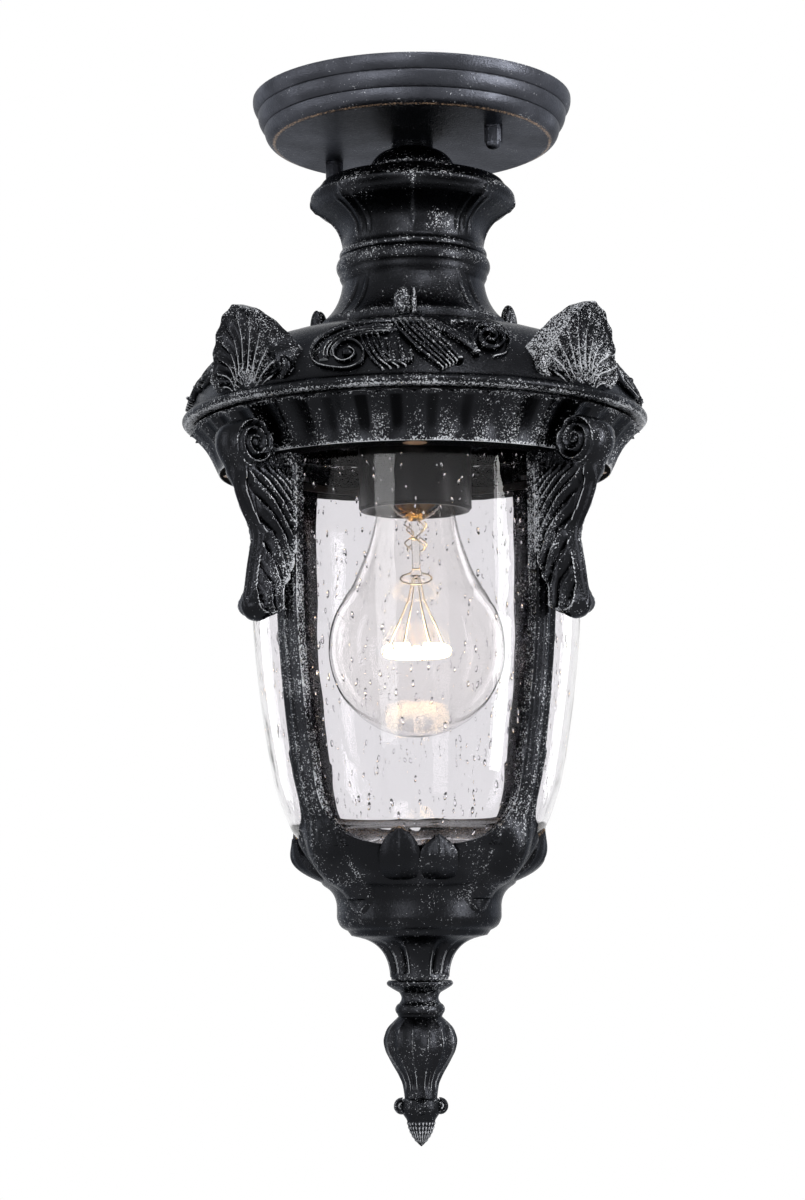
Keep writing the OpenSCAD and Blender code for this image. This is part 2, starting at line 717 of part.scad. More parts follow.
module skirt() {
    n = skirt_flutes * flute_steps;
    columns = [for (i = [0:n - 1]) skirt_column(i * 360 / n)];
    m = len(columns[0]);
    points = [for (i = [0:n - 1]) for (p = columns[i])
        [p[0] * cos(i * 360 / n), p[0] * sin(i * 360 / n), p[1]]];
    faces = [for (i = [0:n - 1]) for (j = [0:m - 1])
        let (k = (i + 1) % n, l = (j + 1) % m, a = i * m + j, b = i * m + l, c = k * m + l, d = k * m + j)
        each [[a, d, c], [a, c, b]]];
    color("darkslategray") polyhedron(points, faces);
}

head_r = 4;
head_h = 2.4;
foot_screw_r = 1.5;
foot_screw_x = ring_bore_r + 3.4;
foot_h = 4;
foot_x = ring_bore_r + 6;
volute_z = rim_low_z - volute_drop;
bracket_low_z = volute_z - bracket_l;
bracket_back_x = glass_r + glass_gap + rib_t + skin;
bracket_screw_z = volute_z - 24;
bracket_head_r = 3.2;
bracket_head_h = 1.8;
bracket_screw_l = 9;
rib_angles = [45, 135, 225, 315];

module ring_plate() {
    color("dimgray") difference() {
        revolve([
            [ring_bore_r, ring_low_z], [skirt_low_r - 0.3 - skin, ring_low_z],
            [skirt_low_r - 0.3 - skin, ring_top_z], [ring_bore_r + 0.9, ring_top_z],
            [ring_bore_r, ring_top_z - 0.6]
        ]);
        for (a = post_angles) at_angle(a) translate([post_ring_r, 0, ring_low_z - over]) {
            cylinder(r = cage_screw_r + fit, h = ring_plate_t + 2 * over, $fn = 32);
            cylinder(r = head_r + fit, h = head_h + over, $fn = 48);
        }
        for (a = rib_angles) at_angle(a) translate([foot_screw_x, 0, ring_low_z - over])
            cylinder(r = foot_screw_r + fit, h = ring_plate_t + 2 * over, $fn = 32);
    }
}

module cage_screws() {
    color("peru") for (a = post_angles) at_angle(a) translate([post_ring_r, 0, ring_low_z + seat]) {
        cylinder(r = head_r, h = head_h - 2 * seat, $fn = 48);
        cylinder(r = cage_screw_r, h = ring_plate_t + 12, $fn = 32);
    }
}

module ring_screws() {
    color("silver") for (a = rib_angles) at_angle(a) translate([foot_screw_x, 0, ring_top_z]) {
        cylinder(r = 2.8, h = 1.8, $fn = 32);
        translate([0, 0, -ring_plate_t - foot_h])
            cylinder(r = foot_screw_r, h = ring_plate_t + foot_h, $fn = 32);
    }
}

// ---------------------------------------------------------------- glass jar

jar_turn_z = glass_top_z - glass_straight_h;
jar_side = concat(
    [[glass_r, glass_top_z]],
    bow([glass_r, jar_turn_z], [glass_r - 6.4, jar_turn_z - 52], 0.9, 6),
    bow([glass_r - 7.1, jar_turn_z - 56], [glass_r - 13, glass_low_z + 12.7], 0.4, 4),
    bow([glass_r - 14.2, glass_low_z + 10.9], [jar_floor_r, glass_low_z + 2.6], 1.8, 6)
);
jar_bottom = bow([jar_floor_r - 4, glass_low_z + 1.6], [0, glass_low_z], 0.5, 5);
jar_outside = concat(jar_side, jar_bottom);

module glass_jar() {
    inner = concat(
        [for (p = jar_side) if (p[1] > glass_low_z + 13) [p[0] - glass_t, p[1]]],
        bow([glass_r - 16.6, glass_low_z + 13.6], [jar_floor_r - 4, glass_low_z + 4.6], 1.8, 6),
        bow([jar_floor_r - 8, glass_low_z + 3.9], [0, glass_low_z + glass_t], 0.4, 4));
    color("lavender", 0.35) revolve(concat(jar_outside, reversed(inner)));
}

module glass_collar() {
    color("dimgray") translate([0, 0, ring_low_z + 0.4]) difference() {
        cylinder(r = ring_bore_r - skin, h = ring_plate_t - 1.4, $fn = round_fn);
        translate([0, 0, -over]) cylinder(r = glass_r + skin, h = ring_plate_t + over, $fn = round_fn);
    }
}

// ---------------------------------------------------------------- cage frame

bowl_lip_z = glass_low_z + 12.7;
rib_low = [cup_r + 2.4, cone_top_z + cup_h - 3];
frame_inside = shifted(jar_side, glass_gap);
rib_outside = concat(
    shifted([for (p = jar_side) if (p[1] >= bowl_lip_z) p], glass_gap + rib_t),
    bow([glass_r - 8, glass_low_z + 8.4], [glass_r - 13.4, glass_low_z - 2.6], 1.2, 4),
    bow([glass_r - 17.4, glass_low_z - 5.6], rib_low, -0.6, 4)
);
bowl_outside = concat(
    bow([glass_r - 9.4, bowl_lip_z - 0.4], [cup_r + 8, glass_low_z - 3], 1.6, 5),
    bow([cup_r + 4.2, glass_low_z - 6], [cup_r, cone_top_z + cup_h * 0.62], -0.8, 4),
    [[cup_r, cone_top_z + cup_h * 0.3]],
    bow([cup_r - 0.4, cone_top_z + cup_h * 0.22], [cup_r - 3.5, cone_top_z], 0.6, 4)
);
cone_side = bow([cup_r - 5, cone_top_z - 2], [cone_r, cone_low_z], -4, 8);
jar_foot_r = jar_bottom[0][0];
seat_h = 2.3;
seat_floor_z = glass_low_z - seat_h - seat;
seat_floor = [[jar_foot_r + glass_gap, glass_low_z + 0.2], [jar_foot_r, seat_floor_z], [0, seat_floor_z]];
stud_hole_h = 17;

module rib_cross(w, low_z, high_z) {
    for (a = [45, 135]) at_angle(a) translate([-90, -w / 2, low_z]) cube([180, w, high_z - low_z]);
}

module window_cuts() {
    window_z = glass_low_z + 6.4 + window_r;
    for (a = [0, 90]) at_angle(a) translate([-90, 0, window_z]) rotate([0, 90, 0])
        cylinder(r = window_r, h = 180, $fn = 96);
}

module basket_leaves() {
    leaf_low = [cup_r + 7.4, glass_low_z - 3.4];
    leaf_high = [glass_r - 9.6, glass_low_z + 11];
    leaf_line = bow(leaf_low, leaf_high, -1.4, 5);
    intersection() {
        revolve(concat(leaf_line, reversed(shifted(leaf_line, -2, 0.4))));
        for (side = post_angles) for (s = [-1, 1]) at_angle(side + s * 9.6)
            translate([0, 0, glass_low_z + 3.2]) rotate([0, 90, 0]) cylinder(r = leaf_r, h = 60, $fn = 48);
    }
}

module cage_frame() {
    wall_line = [for (p = jar_side) if (p[1] < bowl_lip_z + 30) p];
    color("darkslategray") difference() {
        union() {
            intersection() {
                revolve(concat([[glass_r + glass_gap, ring_low_z - seat]],
                    [for (p = frame_inside) if (p[1] < ring_low_z - over) p],
                    [seat_floor[0], seat_floor[1], [jar_foot_r, rib_low[1]], rib_low],
                    reversed([for (p = rib_outside) if (p[1] < ring_low_z - over) p]),
                    [[glass_r + glass_gap + rib_t, ring_low_z - seat]]));
                rib_cross(rib_w, rib_low[1] - over, ring_low_z);
            }
            difference() {
                revolve(concat(shifted(wall_line, glass_gap), seat_floor,
                    [[0, cone_low_z], [cone_r, cone_low_z]], reversed(cone_side),
                    reversed(bowl_outside),
                    reversed(shifted([for (p = wall_line) if (p[1] >= bowl_lip_z) p],
                        glass_gap + rib_t - 0.6))));
                window_cuts();
            }
            basket_leaves();
            for (a = rib_angles) at_angle(a)
                translate([glass_r + glass_gap, -rib_w / 2, ring_low_z - seat - foot_h])
                    cube([foot_x - glass_r - glass_gap, rib_w, foot_h]);
        }
        translate([0, 0, cone_low_z - over])
            cylinder(r = finial_stud_r + fit, h = stud_hole_h + over, $fn = 48);
        for (a = rib_angles) at_angle(a) {
            translate([foot_screw_x, 0, ring_low_z - foot_h - over])
                cylinder(r = foot_screw_r + fit, h = foot_h + 2 * over, $fn = 32);
            translate([glass_r - 2, 0, bracket_screw_z]) rotate([0, 90, 0]) {
                cylinder(r = bracket_screw_r + fit, h = 12, $fn = 32);
                cylinder(r = bracket_head_r + fit, h = 2 + glass_gap + bracket_head_h, $fn = 32);
            }
        }
    }
}

// A ring whose top follows the jar's bottom.
module glass_seat() {
    top = shifted([for (i = [1:3]) jar_bottom[i]], 0, -skin);
    color("dimgray") revolve(concat(top,
        [[top[2][0], seat_floor_z + skin], [top[0][0], seat_floor_z + skin]]));
}

// ---------------------------------------------------------------- scroll brackets

bracket_outline = concat(
    [[skirt_low_r + 1, ring_low_z - seat], [foot_x + 1.4, volute_z - 8]],
    [[bracket_back_x, volute_z - 10.5], [bracket_back_x, volute_z - 34]],
    bow([bracket_back_x + 0.6, volute_z - 36], [bracket_back_x + 5.6, volute_z - 47], -0.8, 3),
    [[bracket_back_x + 5.4, bracket_low_z + 3]],
    bow([bracket_back_x + 7.2, bracket_low_z + 0.6], [bracket_waist_x + 3.6, bracket_low_z + 0.8], -0.5, 3),
    [[bracket_waist_x + 5.2, bracket_low_z + 4]],
    bow([bracket_waist_x + 3.4, bracket_low_z + 8.4], [bracket_waist_x, volute_z - 30], -0.5, 4),
    bow([bracket_waist_x, volute_z - 28], [volute_x + 3.4, volute_z - 7.2], -1.4, 5),
    [[volute_x, volute_z], [skirt_top_r - 2.4, skirt_top_z - 3]]
);

module skirt_block() {
    revolve(concat([[0, skirt_top_z + over], [skirt_top_r + seat, skirt_top_z + over]],
        [for (p = skirt_outside) [p[0] + seat, skirt_top_z + p[1]]], [[0, ring_low_z]]));
}

module scroll_bracket(a) {
    color("darkslategray") at_angle(a) difference() {
        union() {
            translate([0, bracket_t / 2, 0]) rotate([90, 0, 0])
                linear_extrude(height = bracket_t) polygon(bracket_outline);
            translate([volute_x, 0, volute_z]) rotate([90, 0, 0]) {
                cylinder(r = volute_r, h = bracket_t, center = true, $fn = 48);
                cylinder(r = volute_r - 2.6, h = bracket_t + 1.6, center = true, $fn = 48);
                cylinder(r = volute_r / 4, h = bracket_t + 3, center = true, $fn = 48);
            }
        }
        skirt_block();
        translate([bracket_back_x - over, 0, bracket_screw_z]) rotate([0, 90, 0])
            cylinder(r = bracket_screw_r + fit, h = bracket_screw_l - 2 + over, $fn = 32);
    }
}

module bracket_screws() {
    head_x = glass_r + glass_gap + seat;
    color("silver") for (a = rib_angles) at_angle(a)
        translate([head_x, 0, bracket_screw_z]) rotate([0, 90, 0]) {
            cylinder(r = bracket_head_r, h = bracket_head_h - seat, $fn = 32);
            cylinder(r = bracket_screw_r, h = bracket_screw_l, $fn = 32);
        }
}

// ---------------------------------------------------------------- finial

module finial_stud() {
    top = cone_low_z + stud_hole_h - 0.6;
    color("silver") translate([0, 0, finial_top_z - 14])
        cylinder(r = finial_stud_r, h = top - finial_top_z + 14, $fn = 32);
}

module finial_washer() {
    color("black") translate([0, 0, finial_top_z + seat]) difference() {
        cylinder(r = 8.2, h = finial_washer_t, $fn = 48);
        translate([0, 0, -over]) cylinder(r = finial_stud_r + fit, h = finial_washer_t + 2 * over, $fn = 32);
    }
}

finial_side = concat(
    bow([10.4, 0], [10.4, -2], 0.7, 4), [[8.8, -3]],
    bow([7, -4], [7, -7.6], -0.8, 4),
    bow([7.6, -8], [7.6, -11.2], 0.7, 4),
    bow([7.2, -12], [bulb_r, -18.8], 1.1, 6),
    bow([bulb_r, -19.6], [6.2, -34], -0.4, 6),
    [[5.6, -36.6], [5.6, -38.8]],
    bow([6.2, -39.4], [5.4, -45], 0.8, 5),
    bow([4.7, -46], [0, -finial_h], 1, 6)
);

module finial() {
    volute = 2.6;
    color("darkslategray") translate([0, 0, finial_top_z]) difference() {
        union() {
            revolve(concat([[0, 0]], finial_side));
            for (a = [0, 90]) at_angle(a) translate([0, 0, -41.6]) {
                for (s = [-1, 1]) translate([s * 6.4, 1.4, 0]) rotate([90, 0, 0])
                    cylinder(r = volute, h = 2.8, $fn = 32);
            }
        }
        translate([0, 0, -16]) cylinder(r = finial_stud_r + fit, h = 16 + over, $fn = 48);
    }
}

// ---------------------------------------------------------------- lamp

tip_h = 1;
insulator_h = 3;
base_top_z = lamp_top_z - tip_h - insulator_h;
base_low_z = base_top_z - lamp_base_h;
globe_z = lamp_low_z + lamp_r;
neck_join_angle = 40;
globe_neck_r = lamp_base_r - 1;
globe_side = concat(
    [[globe_neck_r, base_low_z + 4], [globe_neck_r, base_low_z - 1]],
    bow([lamp_base_r + 0.2, base_low_z - 3],
        lamp_r * [cos(neck_join_angle), sin(neck_join_angle)] + [0, globe_z], -1.6, 6),
    [for (a = [neck_join_angle - 8:-8:-88]) lamp_r * [cos(a), sin(a)] + [0, globe_z]],
    [[0, lamp_low_z]]
);
stem_low_z = base_low_z - lamp_stem_drop;
filament_z = globe_z - 4;

module lamp_tip() {
    color("silver") revolve(bow([3.4, base_top_z + insulator_h], [0, lamp_top_z], -0.3, 3));
}

module lamp_insulator() {
    color("black") translate([0, 0, base_top_z])
        cylinder(r1 = 9.6, r2 = 4.4, h = insulator_h - skin, $fn = 48);
}

module lamp_base() {
    color("gold") revolve([
        [9.6, base_top_z - skin], [lamp_base_r, base_top_z - 3], [lamp_base_r, base_low_z],
        [lamp_base_r - 0.5, base_low_z], [lamp_base_r - 0.5, base_top_z - 3.4],
        [0, base_top_z - 1], [0, base_top_z - skin]
    ]);
}

module lamp_globe() {
    inner = [for (p = globe_side) if (p[0] > 2) [p[0] - lamp_wall, p[1]]];
    color("moccasin", 0.35) revolve(concat(globe_side, [[0, lamp_low_z + lamp_wall]], reversed(inner)));
}

module lamp_stem() {
    flare_h = 9;
    flare_z = base_low_z + 3 - flare_h;
    color("whitesmoke", 0.5) {
        translate([0, 0, stem_low_z]) cylinder(r = lamp_stem_r, h = flare_z - stem_low_z, $fn = 32);
        translate([0, 0, flare_z])
            cylinder(r1 = lamp_stem_r, r2 = globe_neck_r - lamp_wall - skin, h = flare_h, $fn = 48);
    }
}

module lamp_supports() {
    wire_r = 0.3;
    drop = stem_low_z - 0.2 - filament_z;
    color("silver") for (a = [0:60:300]) at_angle(a)
        translate([1.2, 0, stem_low_z - 0.1]) rotate([0, 180 - atan2(filament_r - 1.2, drop), 0])
            cylinder(r = wire_r, h = norm([filament_r - 1.2, drop]) - 0.5, $fn = 12);
}

module lamp_filament() {
    color("orange") translate([0, 0, filament_z]) rotate([0, 0, 15]) rotate_extrude(angle = 330, $fn = 64)
        translate([filament_r, 0]) circle(filament_wire_r, $fn = 16);
}

// ---------------------------------------------------------------- nodes

at_angle(-strap_angle) mounting_strap();
at_angle(-strap_angle) strap_studs();
at_angle(-strap_angle) stud_lock_nuts();
at_angle(-strap_angle) ground_screw();
at_angle(-strap_angle) ground_lead();
wire_nuts();
lead(lead_angles[0], "black");  // lead_black
lead(lead_angles[1], "white");  // lead_white
canopy();
nipple();
nipple_washer();
nipple_nut();
collar();
neck();
roof();
shell_ornament(315);  // shell_front_right
shell_ornament(45);  // shell_back_right
shell_ornament(135);  // shell_back_left
shell_ornament(225);  // shell_front_left
relief_scroll(270);  // relief_front
relief_scroll(0);  // relief_right
relief_scroll(90);  // relief_back
relief_scroll(180);  // relief_left
socket_cap();
socket_body();
socket_screw_shell();
socket_contact();
terminal_screws();
skirt();
ring_plate();
cage_screws();
ring_screws();
cage_frame();
scroll_bracket(315);  // bracket_front_right
scroll_bracket(45);  // bracket_back_right
scroll_bracket(135);  // bracket_back_left
scroll_bracket(225);  // bracket_front_left
bracket_screws();
glass_jar();
glass_collar();
glass_seat();
finial_stud();
finial_washer();
finial();
lamp_tip();
lamp_insulator();
lamp_base();
lamp_globe();
lamp_stem();
lamp_supports();
lamp_filament();
cap_washer(1);  // cap_washer_right
cap_nut(1);  // cap_nut_right
cap_washer(-1);  // cap_washer_left
cap_nut(-1);  // cap_nut_left
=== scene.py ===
"""Porch ceiling lantern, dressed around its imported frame.

Every length in this file is in millimetres unless a name says otherwise; the meshes are scaled to
metres when they are made. +Z is up and the origin is the middle of the canopy's rim.
"""

import math

import bmesh
import bpy
import numpy as np
from bpy.props import FloatProperty, FloatVectorProperty, IntProperty, PointerProperty
from mathutils import Matrix, Vector
from mathutils.geometry import delaunay_2d_cdt


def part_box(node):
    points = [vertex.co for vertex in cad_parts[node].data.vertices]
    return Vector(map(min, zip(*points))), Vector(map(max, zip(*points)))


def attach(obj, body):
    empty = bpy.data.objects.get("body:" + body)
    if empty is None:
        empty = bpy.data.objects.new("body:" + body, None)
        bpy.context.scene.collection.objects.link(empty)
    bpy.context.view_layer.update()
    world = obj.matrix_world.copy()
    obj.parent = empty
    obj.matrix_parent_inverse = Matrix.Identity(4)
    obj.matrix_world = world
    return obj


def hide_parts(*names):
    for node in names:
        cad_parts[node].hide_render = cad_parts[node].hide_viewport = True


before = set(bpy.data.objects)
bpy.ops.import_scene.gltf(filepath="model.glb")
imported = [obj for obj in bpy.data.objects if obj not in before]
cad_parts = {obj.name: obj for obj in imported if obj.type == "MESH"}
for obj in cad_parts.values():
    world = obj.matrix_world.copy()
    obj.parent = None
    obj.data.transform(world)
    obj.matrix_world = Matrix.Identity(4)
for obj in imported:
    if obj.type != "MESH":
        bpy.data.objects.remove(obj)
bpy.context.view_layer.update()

bl_info = {
    "name": "Porch ceiling lantern",
    "version": (1, 0, 0),
    "blender": (4, 5, 0),
    "location": "3D View > Sidebar > Lantern",
    "description": "Builds the finish and the ornament of a porch ceiling lantern",
    "category": "Object",
}

MM = 0.001
SEGMENTS = 256
SIDES = (270, 0, 90, 180)
SIDE_NAMES = ("front", "right", "back", "left")
CORNERS = (315, 45, 135, 225)
CORNER_NAMES = ("front_right", "back_right", "back_left", "front_left")


def low(node):
    """Lowest corner of a CAD node, in millimetres."""
    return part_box(node)[0] / MM


def high(node):
    """Highest corner of a CAD node, in millimetres."""
    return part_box(node)[1] / MM


# Heights and radii that the frame gives
CANOPY_R = high("canopy").x
CANOPY_Z = low("canopy").z
FLANGE_Z = low("collar").z
ROOF_Z = low("neck").z
RIM_R = high("roof").x
SKIRT_Z = high("skirt").z
SKIRT_R = high("skirt").x
RING_Z = low("skirt").z
GLASS_R = high("glass_jar").x
GLASS_TOP = high("glass_jar").z
GLASS_LOW = low("glass_jar").z
CONE_Z = low("cage_frame").z
FINIAL_Z = high("finial").z
FINIAL_H = FINIAL_Z - low("finial").z
BASE_R = high("lamp_base").x
BASE_LOW = low("lamp_base").z
LAMP_LOW = low("lamp_globe").z
LAMP_R = high("lamp_globe").x
BRACKET_LOW = low("bracket_front_right").z
NIPPLE_BORE = high("nipple").x + 0.05
GLOBE_Z = LAMP_LOW + LAMP_R

# Sizes that the pieces share
RIM_H = 3.6
RIM_LOW = SKIRT_Z + 0.9
RIM_TOP = RIM_LOW + RIM_H
SHOULDER_R = 50
SHOULDER_Z = ROOF_Z - 6.9
NECK_WALL = 3
ROOF_WALL = 3.2
GLASS_T = 3
GLASS_GAP = 0.6
RIB_T = 4.2
RIB_W = 9.6
CUP_R = 27.6
CUP_H = 13
CUP_Z = GLASS_LOW - 20.6
LIP_Z = GLASS_LOW + 12.7
WINDOW_R = 34.4
WINDOW_Z = GLASS_LOW + 6.4 + WINDOW_R
DOME_FOOT_R = RIM_R - 2.6
EYE_X = SKIRT_R + 1
EYE_Z = RIM_LOW - 14.6
FILAMENT_Z = GLOBE_Z - 0.8
FILAMENT_R = 9.8
FLOOR_Z = -1400

# Points closer than this are merged
WELD = 0.004


# ---------------------------------------------------------------- sizes and colours


class LanternSizes(bpy.types.PropertyGroup):
    """Sizes and counts of the ornament."""

    skirt_flutes: IntProperty(name="Skirt flutes", description="Flutes round the skirt",
                              default=40, min=16, max=64)
    flute_depth: FloatProperty(name="Flute depth", description="Depth of a skirt flute",
                               default=1.7 * MM, subtype="DISTANCE")
    neck_flutes: IntProperty(name="Neck flutes", description="Flutes round the neck",
                             default=8, min=8, max=32)
    shell_ridges: IntProperty(name="Shell ridges", description="Ridges on a corner shell",
                              default=10, min=5, max=14)
    relief_height: FloatProperty(name="Relief height",
                                 description="How far the roof's scrolls stand proud",
                                 default=2.9 * MM, subtype="DISTANCE")
    seeds: IntProperty(name="Seeds", description="Bubbles in the glass",
                       default=950, min=0, max=3000)
    seed_length: FloatProperty(name="Seed length", description="Length of a bubble in the glass",
                               default=3.0 * MM, subtype="DISTANCE")
    gadroons: IntProperty(name="Gadroons", description="Lobes round the finial's bulb",
                          default=14, min=8, max=24)


class LanternColours(bpy.types.PropertyGroup):
    """Colours of the finishes."""

    black: FloatVectorProperty(name="Black paint", description="Ground coat of the castings",
                               subtype="COLOR", size=3, default=(0.0125, 0.0130, 0.0148))
    canopy: FloatVectorProperty(name="Canopy paint", description="Ground coat of the canopy",
                                subtype="COLOR", size=3, default=(0.040, 0.042, 0.050))
    silver: FloatVectorProperty(name="Silver", description="Dry-brushed highlights",
                                subtype="COLOR", size=3, default=(0.46, 0.47, 0.49))
    bronze: FloatVectorProperty(name="Bronze", description="Worn edges", subtype="COLOR", size=3,
                                default=(0.42, 0.27, 0.16))
    glass: FloatVectorProperty(name="Jar glass", description="Tint of the seeded glass",
                               subtype="COLOR", size=3, default=(0.868, 0.856, 0.876))
    glow: FloatVectorProperty(name="Filament", description="Light of the filament",
                              subtype="COLOR", size=3, default=(1.0, 0.72, 0.40))


def sizes():
    """The lantern's sizes in the scene."""
    return bpy.context.scene.lantern_sizes


def colours():
    """The lantern's colours in the scene."""
    return bpy.context.scene.lantern_colours


# ---------------------------------------------------------------- node trees


class Socket:
    """A node's output that takes part in Python expressions."""

    def __init__(self, tree, output):
        self.tree, self.output = tree, output

    def math(self, operation, *others):
        return self.tree.node("ShaderNodeMath", {"operation": operation},
                              dict(enumerate((self,) + others)))

    def __add__(self, other):
        return self.math("ADD", other)

    def __sub__(self, other):
        return self.math("SUBTRACT", other)

    def __rsub__(self, other):
        return self.tree.node("ShaderNodeMath", {"operation": "SUBTRACT"}, {0: other, 1: self})

    def __mul__(self, other):
        return self.math("MULTIPLY", other)

    def __truediv__(self, other):
        return self.math("DIVIDE", other)

    __radd__, __rmul__ = __add__, __mul__

    def smooth(self, start, end):
        """0 below start and 1 above end, with a soft step between."""
        return self.tree.node("ShaderNodeMapRange", {"interpolation_type": "SMOOTHSTEP"},
                              {0: self, 1: start, 2: end, 3: 0.0, 4: 1.0})


class Tree:
    """Adds nodes to a node tree, with their settings first and then their sockets."""

    def __init__(self, tree):
        self.tree = tree

    def node(self, kind, settings=None, inputs=None, output=0):
        made = self.tree.nodes.new(kind)
        for name, value in (settings or {}).items():
            setattr(made, name, value)
        for key, value in (inputs or {}).items():
            target = made.inputs[key]
            if isinstance(value, Socket):
                self.tree.links.new(value.output, target)
            else:
                target.default_value = value
        return Socket(self, made.outputs[output]) if len(made.outputs) else made


class Finish(Tree):
    """A material with one Principled shader."""

    def __init__(self, name):
        self.material = bpy.data.materials.new(name)
        self.material.use_nodes = True
        super().__init__(self.material.node_tree)
        self.tree.nodes.clear()
        self.place = self.node("ShaderNodeTexCoord", output="Object")

    def noise(self, size, detail=2.0, roughness=0.5, stretch=None, distortion=0.0):
        """Noise between 0 and 1 whose features are about size millimetres."""
        place = self.place
        if stretch:
            place = self.node("ShaderNodeMapping", {}, {"Vector": place, "Scale": stretch})
        return self.node("ShaderNodeTexNoise", {}, {
            "Vector": place, "Scale": 1 / (size * MM), "Detail": detail, "Roughness": roughness,
            "Distortion": distortion})

    def attribute(self, name):
        return self.node("ShaderNodeAttribute", {"attribute_name": name}, output="Fac")

    def mix(self, factor, first, second):
        """Colour first where factor is 0 and second where it is 1."""
        def rgba(colour):
            return colour if isinstance(colour, Socket) else (*colour, 1.0)
        return self.node("ShaderNodeMix", {"data_type": "RGBA"},
                         {0: factor, 6: rgba(first), 7: rgba(second)}, output=2)

    def bump(self, height, distance, strength=1.0, normal=None):
        inputs = {"Strength": strength, "Distance": distance * MM, "Height": height}
        if normal:
            inputs["Normal"] = normal
        return self.node("ShaderNodeBump", {}, inputs)

    def finish(self, **sockets):
        """Sets the Principled shader's sockets, whose names are written with underscores."""
        inputs = {name.replace("_", " "): value for name, value in sockets.items()}
        for name in ("Base Color", "Emission Color"):
            if name in inputs and not isinstance(inputs[name], Socket):
                inputs[name] = (*inputs[name], 1.0)
        shader = self.node("ShaderNodeBsdfPrincipled", {}, inputs)
        self.node("ShaderNodeOutputMaterial", {}, {"Surface": shader})
        return self.material


# ---------------------------------------------------------------- materials


def brushed_paint(name, ground, threshold=0.675, softness=0.05, roughness=0.27, grain_size=0.50,
                  mottle=1.0):
    """Dark paint with fine silver flecks that thicken as the brushing attribute rises, painted
    shade that darkens it to near black where that attribute is negative, in creases and hollows,
    and bronze where the bronze attribute is."""
    made = Finish(name)
    grain = made.noise(grain_size, 2.0, 0.6)
    streak = made.noise(1.5, 2.0, 0.6, distortion=0.6)
    patch = made.noise(17, 2.0, 0.5)
    brush_and_shade = made.attribute("brush_and_shade")
    bronze = made.attribute("bronze")
    edge = made.attribute("edge") + (patch - 0.5) * 0.9 * mottle + (streak - 0.5) * mottle
    level = grain + (patch - 0.5) * 0.42 + (streak - 0.5) * 0.26 + brush_and_shade * 0.22
    worn_edge = edge.smooth(0.85, 1.25) * 0.8
    speck = level.smooth(threshold, threshold + softness).math("MAXIMUM", worn_edge)
    shade = made.mix(patch.smooth(0.40, 0.66), ground, tuple(1.6 * c for c in ground))
    # Painted shade: where the brushing attribute is negative, in creases, hollows and flute
    # valleys, the ground is darkened towards black.
    shade = made.mix((brush_and_shade * -1.0).smooth(0.08, 0.45) * 0.85, shade,
                     tuple(0.1 * c for c in ground))
    shade = made.mix(speck, shade, tuple(colours().silver))
    worn = (bronze + (grain - 0.5) * 0.5).smooth(0.42, 0.62)
    shade = made.mix(worn, shade, tuple(colours().bronze))
    normal = made.bump(grain + streak * 0.8, 0.17, 0.6)
    return made.finish(
        Base_Color=shade,
        Metallic=(1 - speck) * (1 - worn),
        Roughness=roughness + (streak - 0.5) * 0.20 + speck * 0.14,
        Specular_IOR_Level=0.3,
        Specular_Tint=(0.55, 0.56, 0.58, 1.0),
        Normal=normal)


def plain_metal(name, colour, roughness, wear=0.12, size=6.0, metallic=1.0):
    """Bare or plated metal with faint brushing and stains."""
    made = Finish(name)
    stain = made.noise(size, 4.0, 0.6)
    lines = made.noise(0.5, 2.0, 0.6, stretch=(1, 1, 0.15))
    dark = tuple(0.45 * c for c in colour)
    shade = made.mix(stain.smooth(0.35, 0.75) * wear * 4, colour, dark)
    return made.finish(Base_Color=shade, Metallic=metallic,
                       Roughness=roughness + (stain - 0.5) * 0.25,
                       Normal=made.bump(lines + stain, 0.05, 0.4))


def moulded(name, colour, roughness, size=2.2, specular=0.4):
    """Moulded plastic, rubber or wire insulation with a fine texture."""
    made = Finish(name)
    texture = made.noise(size, 3.0, 0.6)
    light = tuple(min(1.0, 1.5 * c + 0.004) for c in colour)
    shade = made.mix(texture.smooth(0.3, 0.8) * 0.6, colour, light)
    return made.finish(Base_Color=shade, Roughness=roughness + (texture - 0.5) * 0.2,
                       Specular_IOR_Level=specular, Normal=made.bump(texture, 0.04, 0.4))


def clear_glass(name, tint, roughness=0.0, wave=0.0, wave_size=9.0, ior=1.45, sheen=0.35):
    """Clear glass with a slightly wavy surface."""
    made = Finish(name)
    extra = {}
    if wave:
        waves = made.noise(wave_size, 1.0, 0.4, stretch=(1, 1, 0.45))
        extra["Normal"] = made.bump(waves, wave, 1.0)
    ripple = made.noise(7.0, 1.0)
    shade = made.mix(ripple.smooth(0.4, 0.7), tint, tuple(0.99 * c for c in tint))
    return made.finish(Base_Color=shade, Roughness=roughness, IOR=ior, Transmission_Weight=1.0,
                       Specular_Tint=(sheen, sheen, sheen, 1.0), **extra)


def glowing(name, colour, strength):
    """Incandescent wire."""
    made = Finish(name)
    heat = made.noise(1.1, 2.0)
    shade = made.mix(heat.smooth(0.3, 0.7), colour, tuple(min(1.0, 1.2 * c) for c in colour))
    return made.finish(Base_Color=shade, Emission_Color=shade, Emission_Strength=strength,
                       Roughness=0.5)


MATERIALS = {}


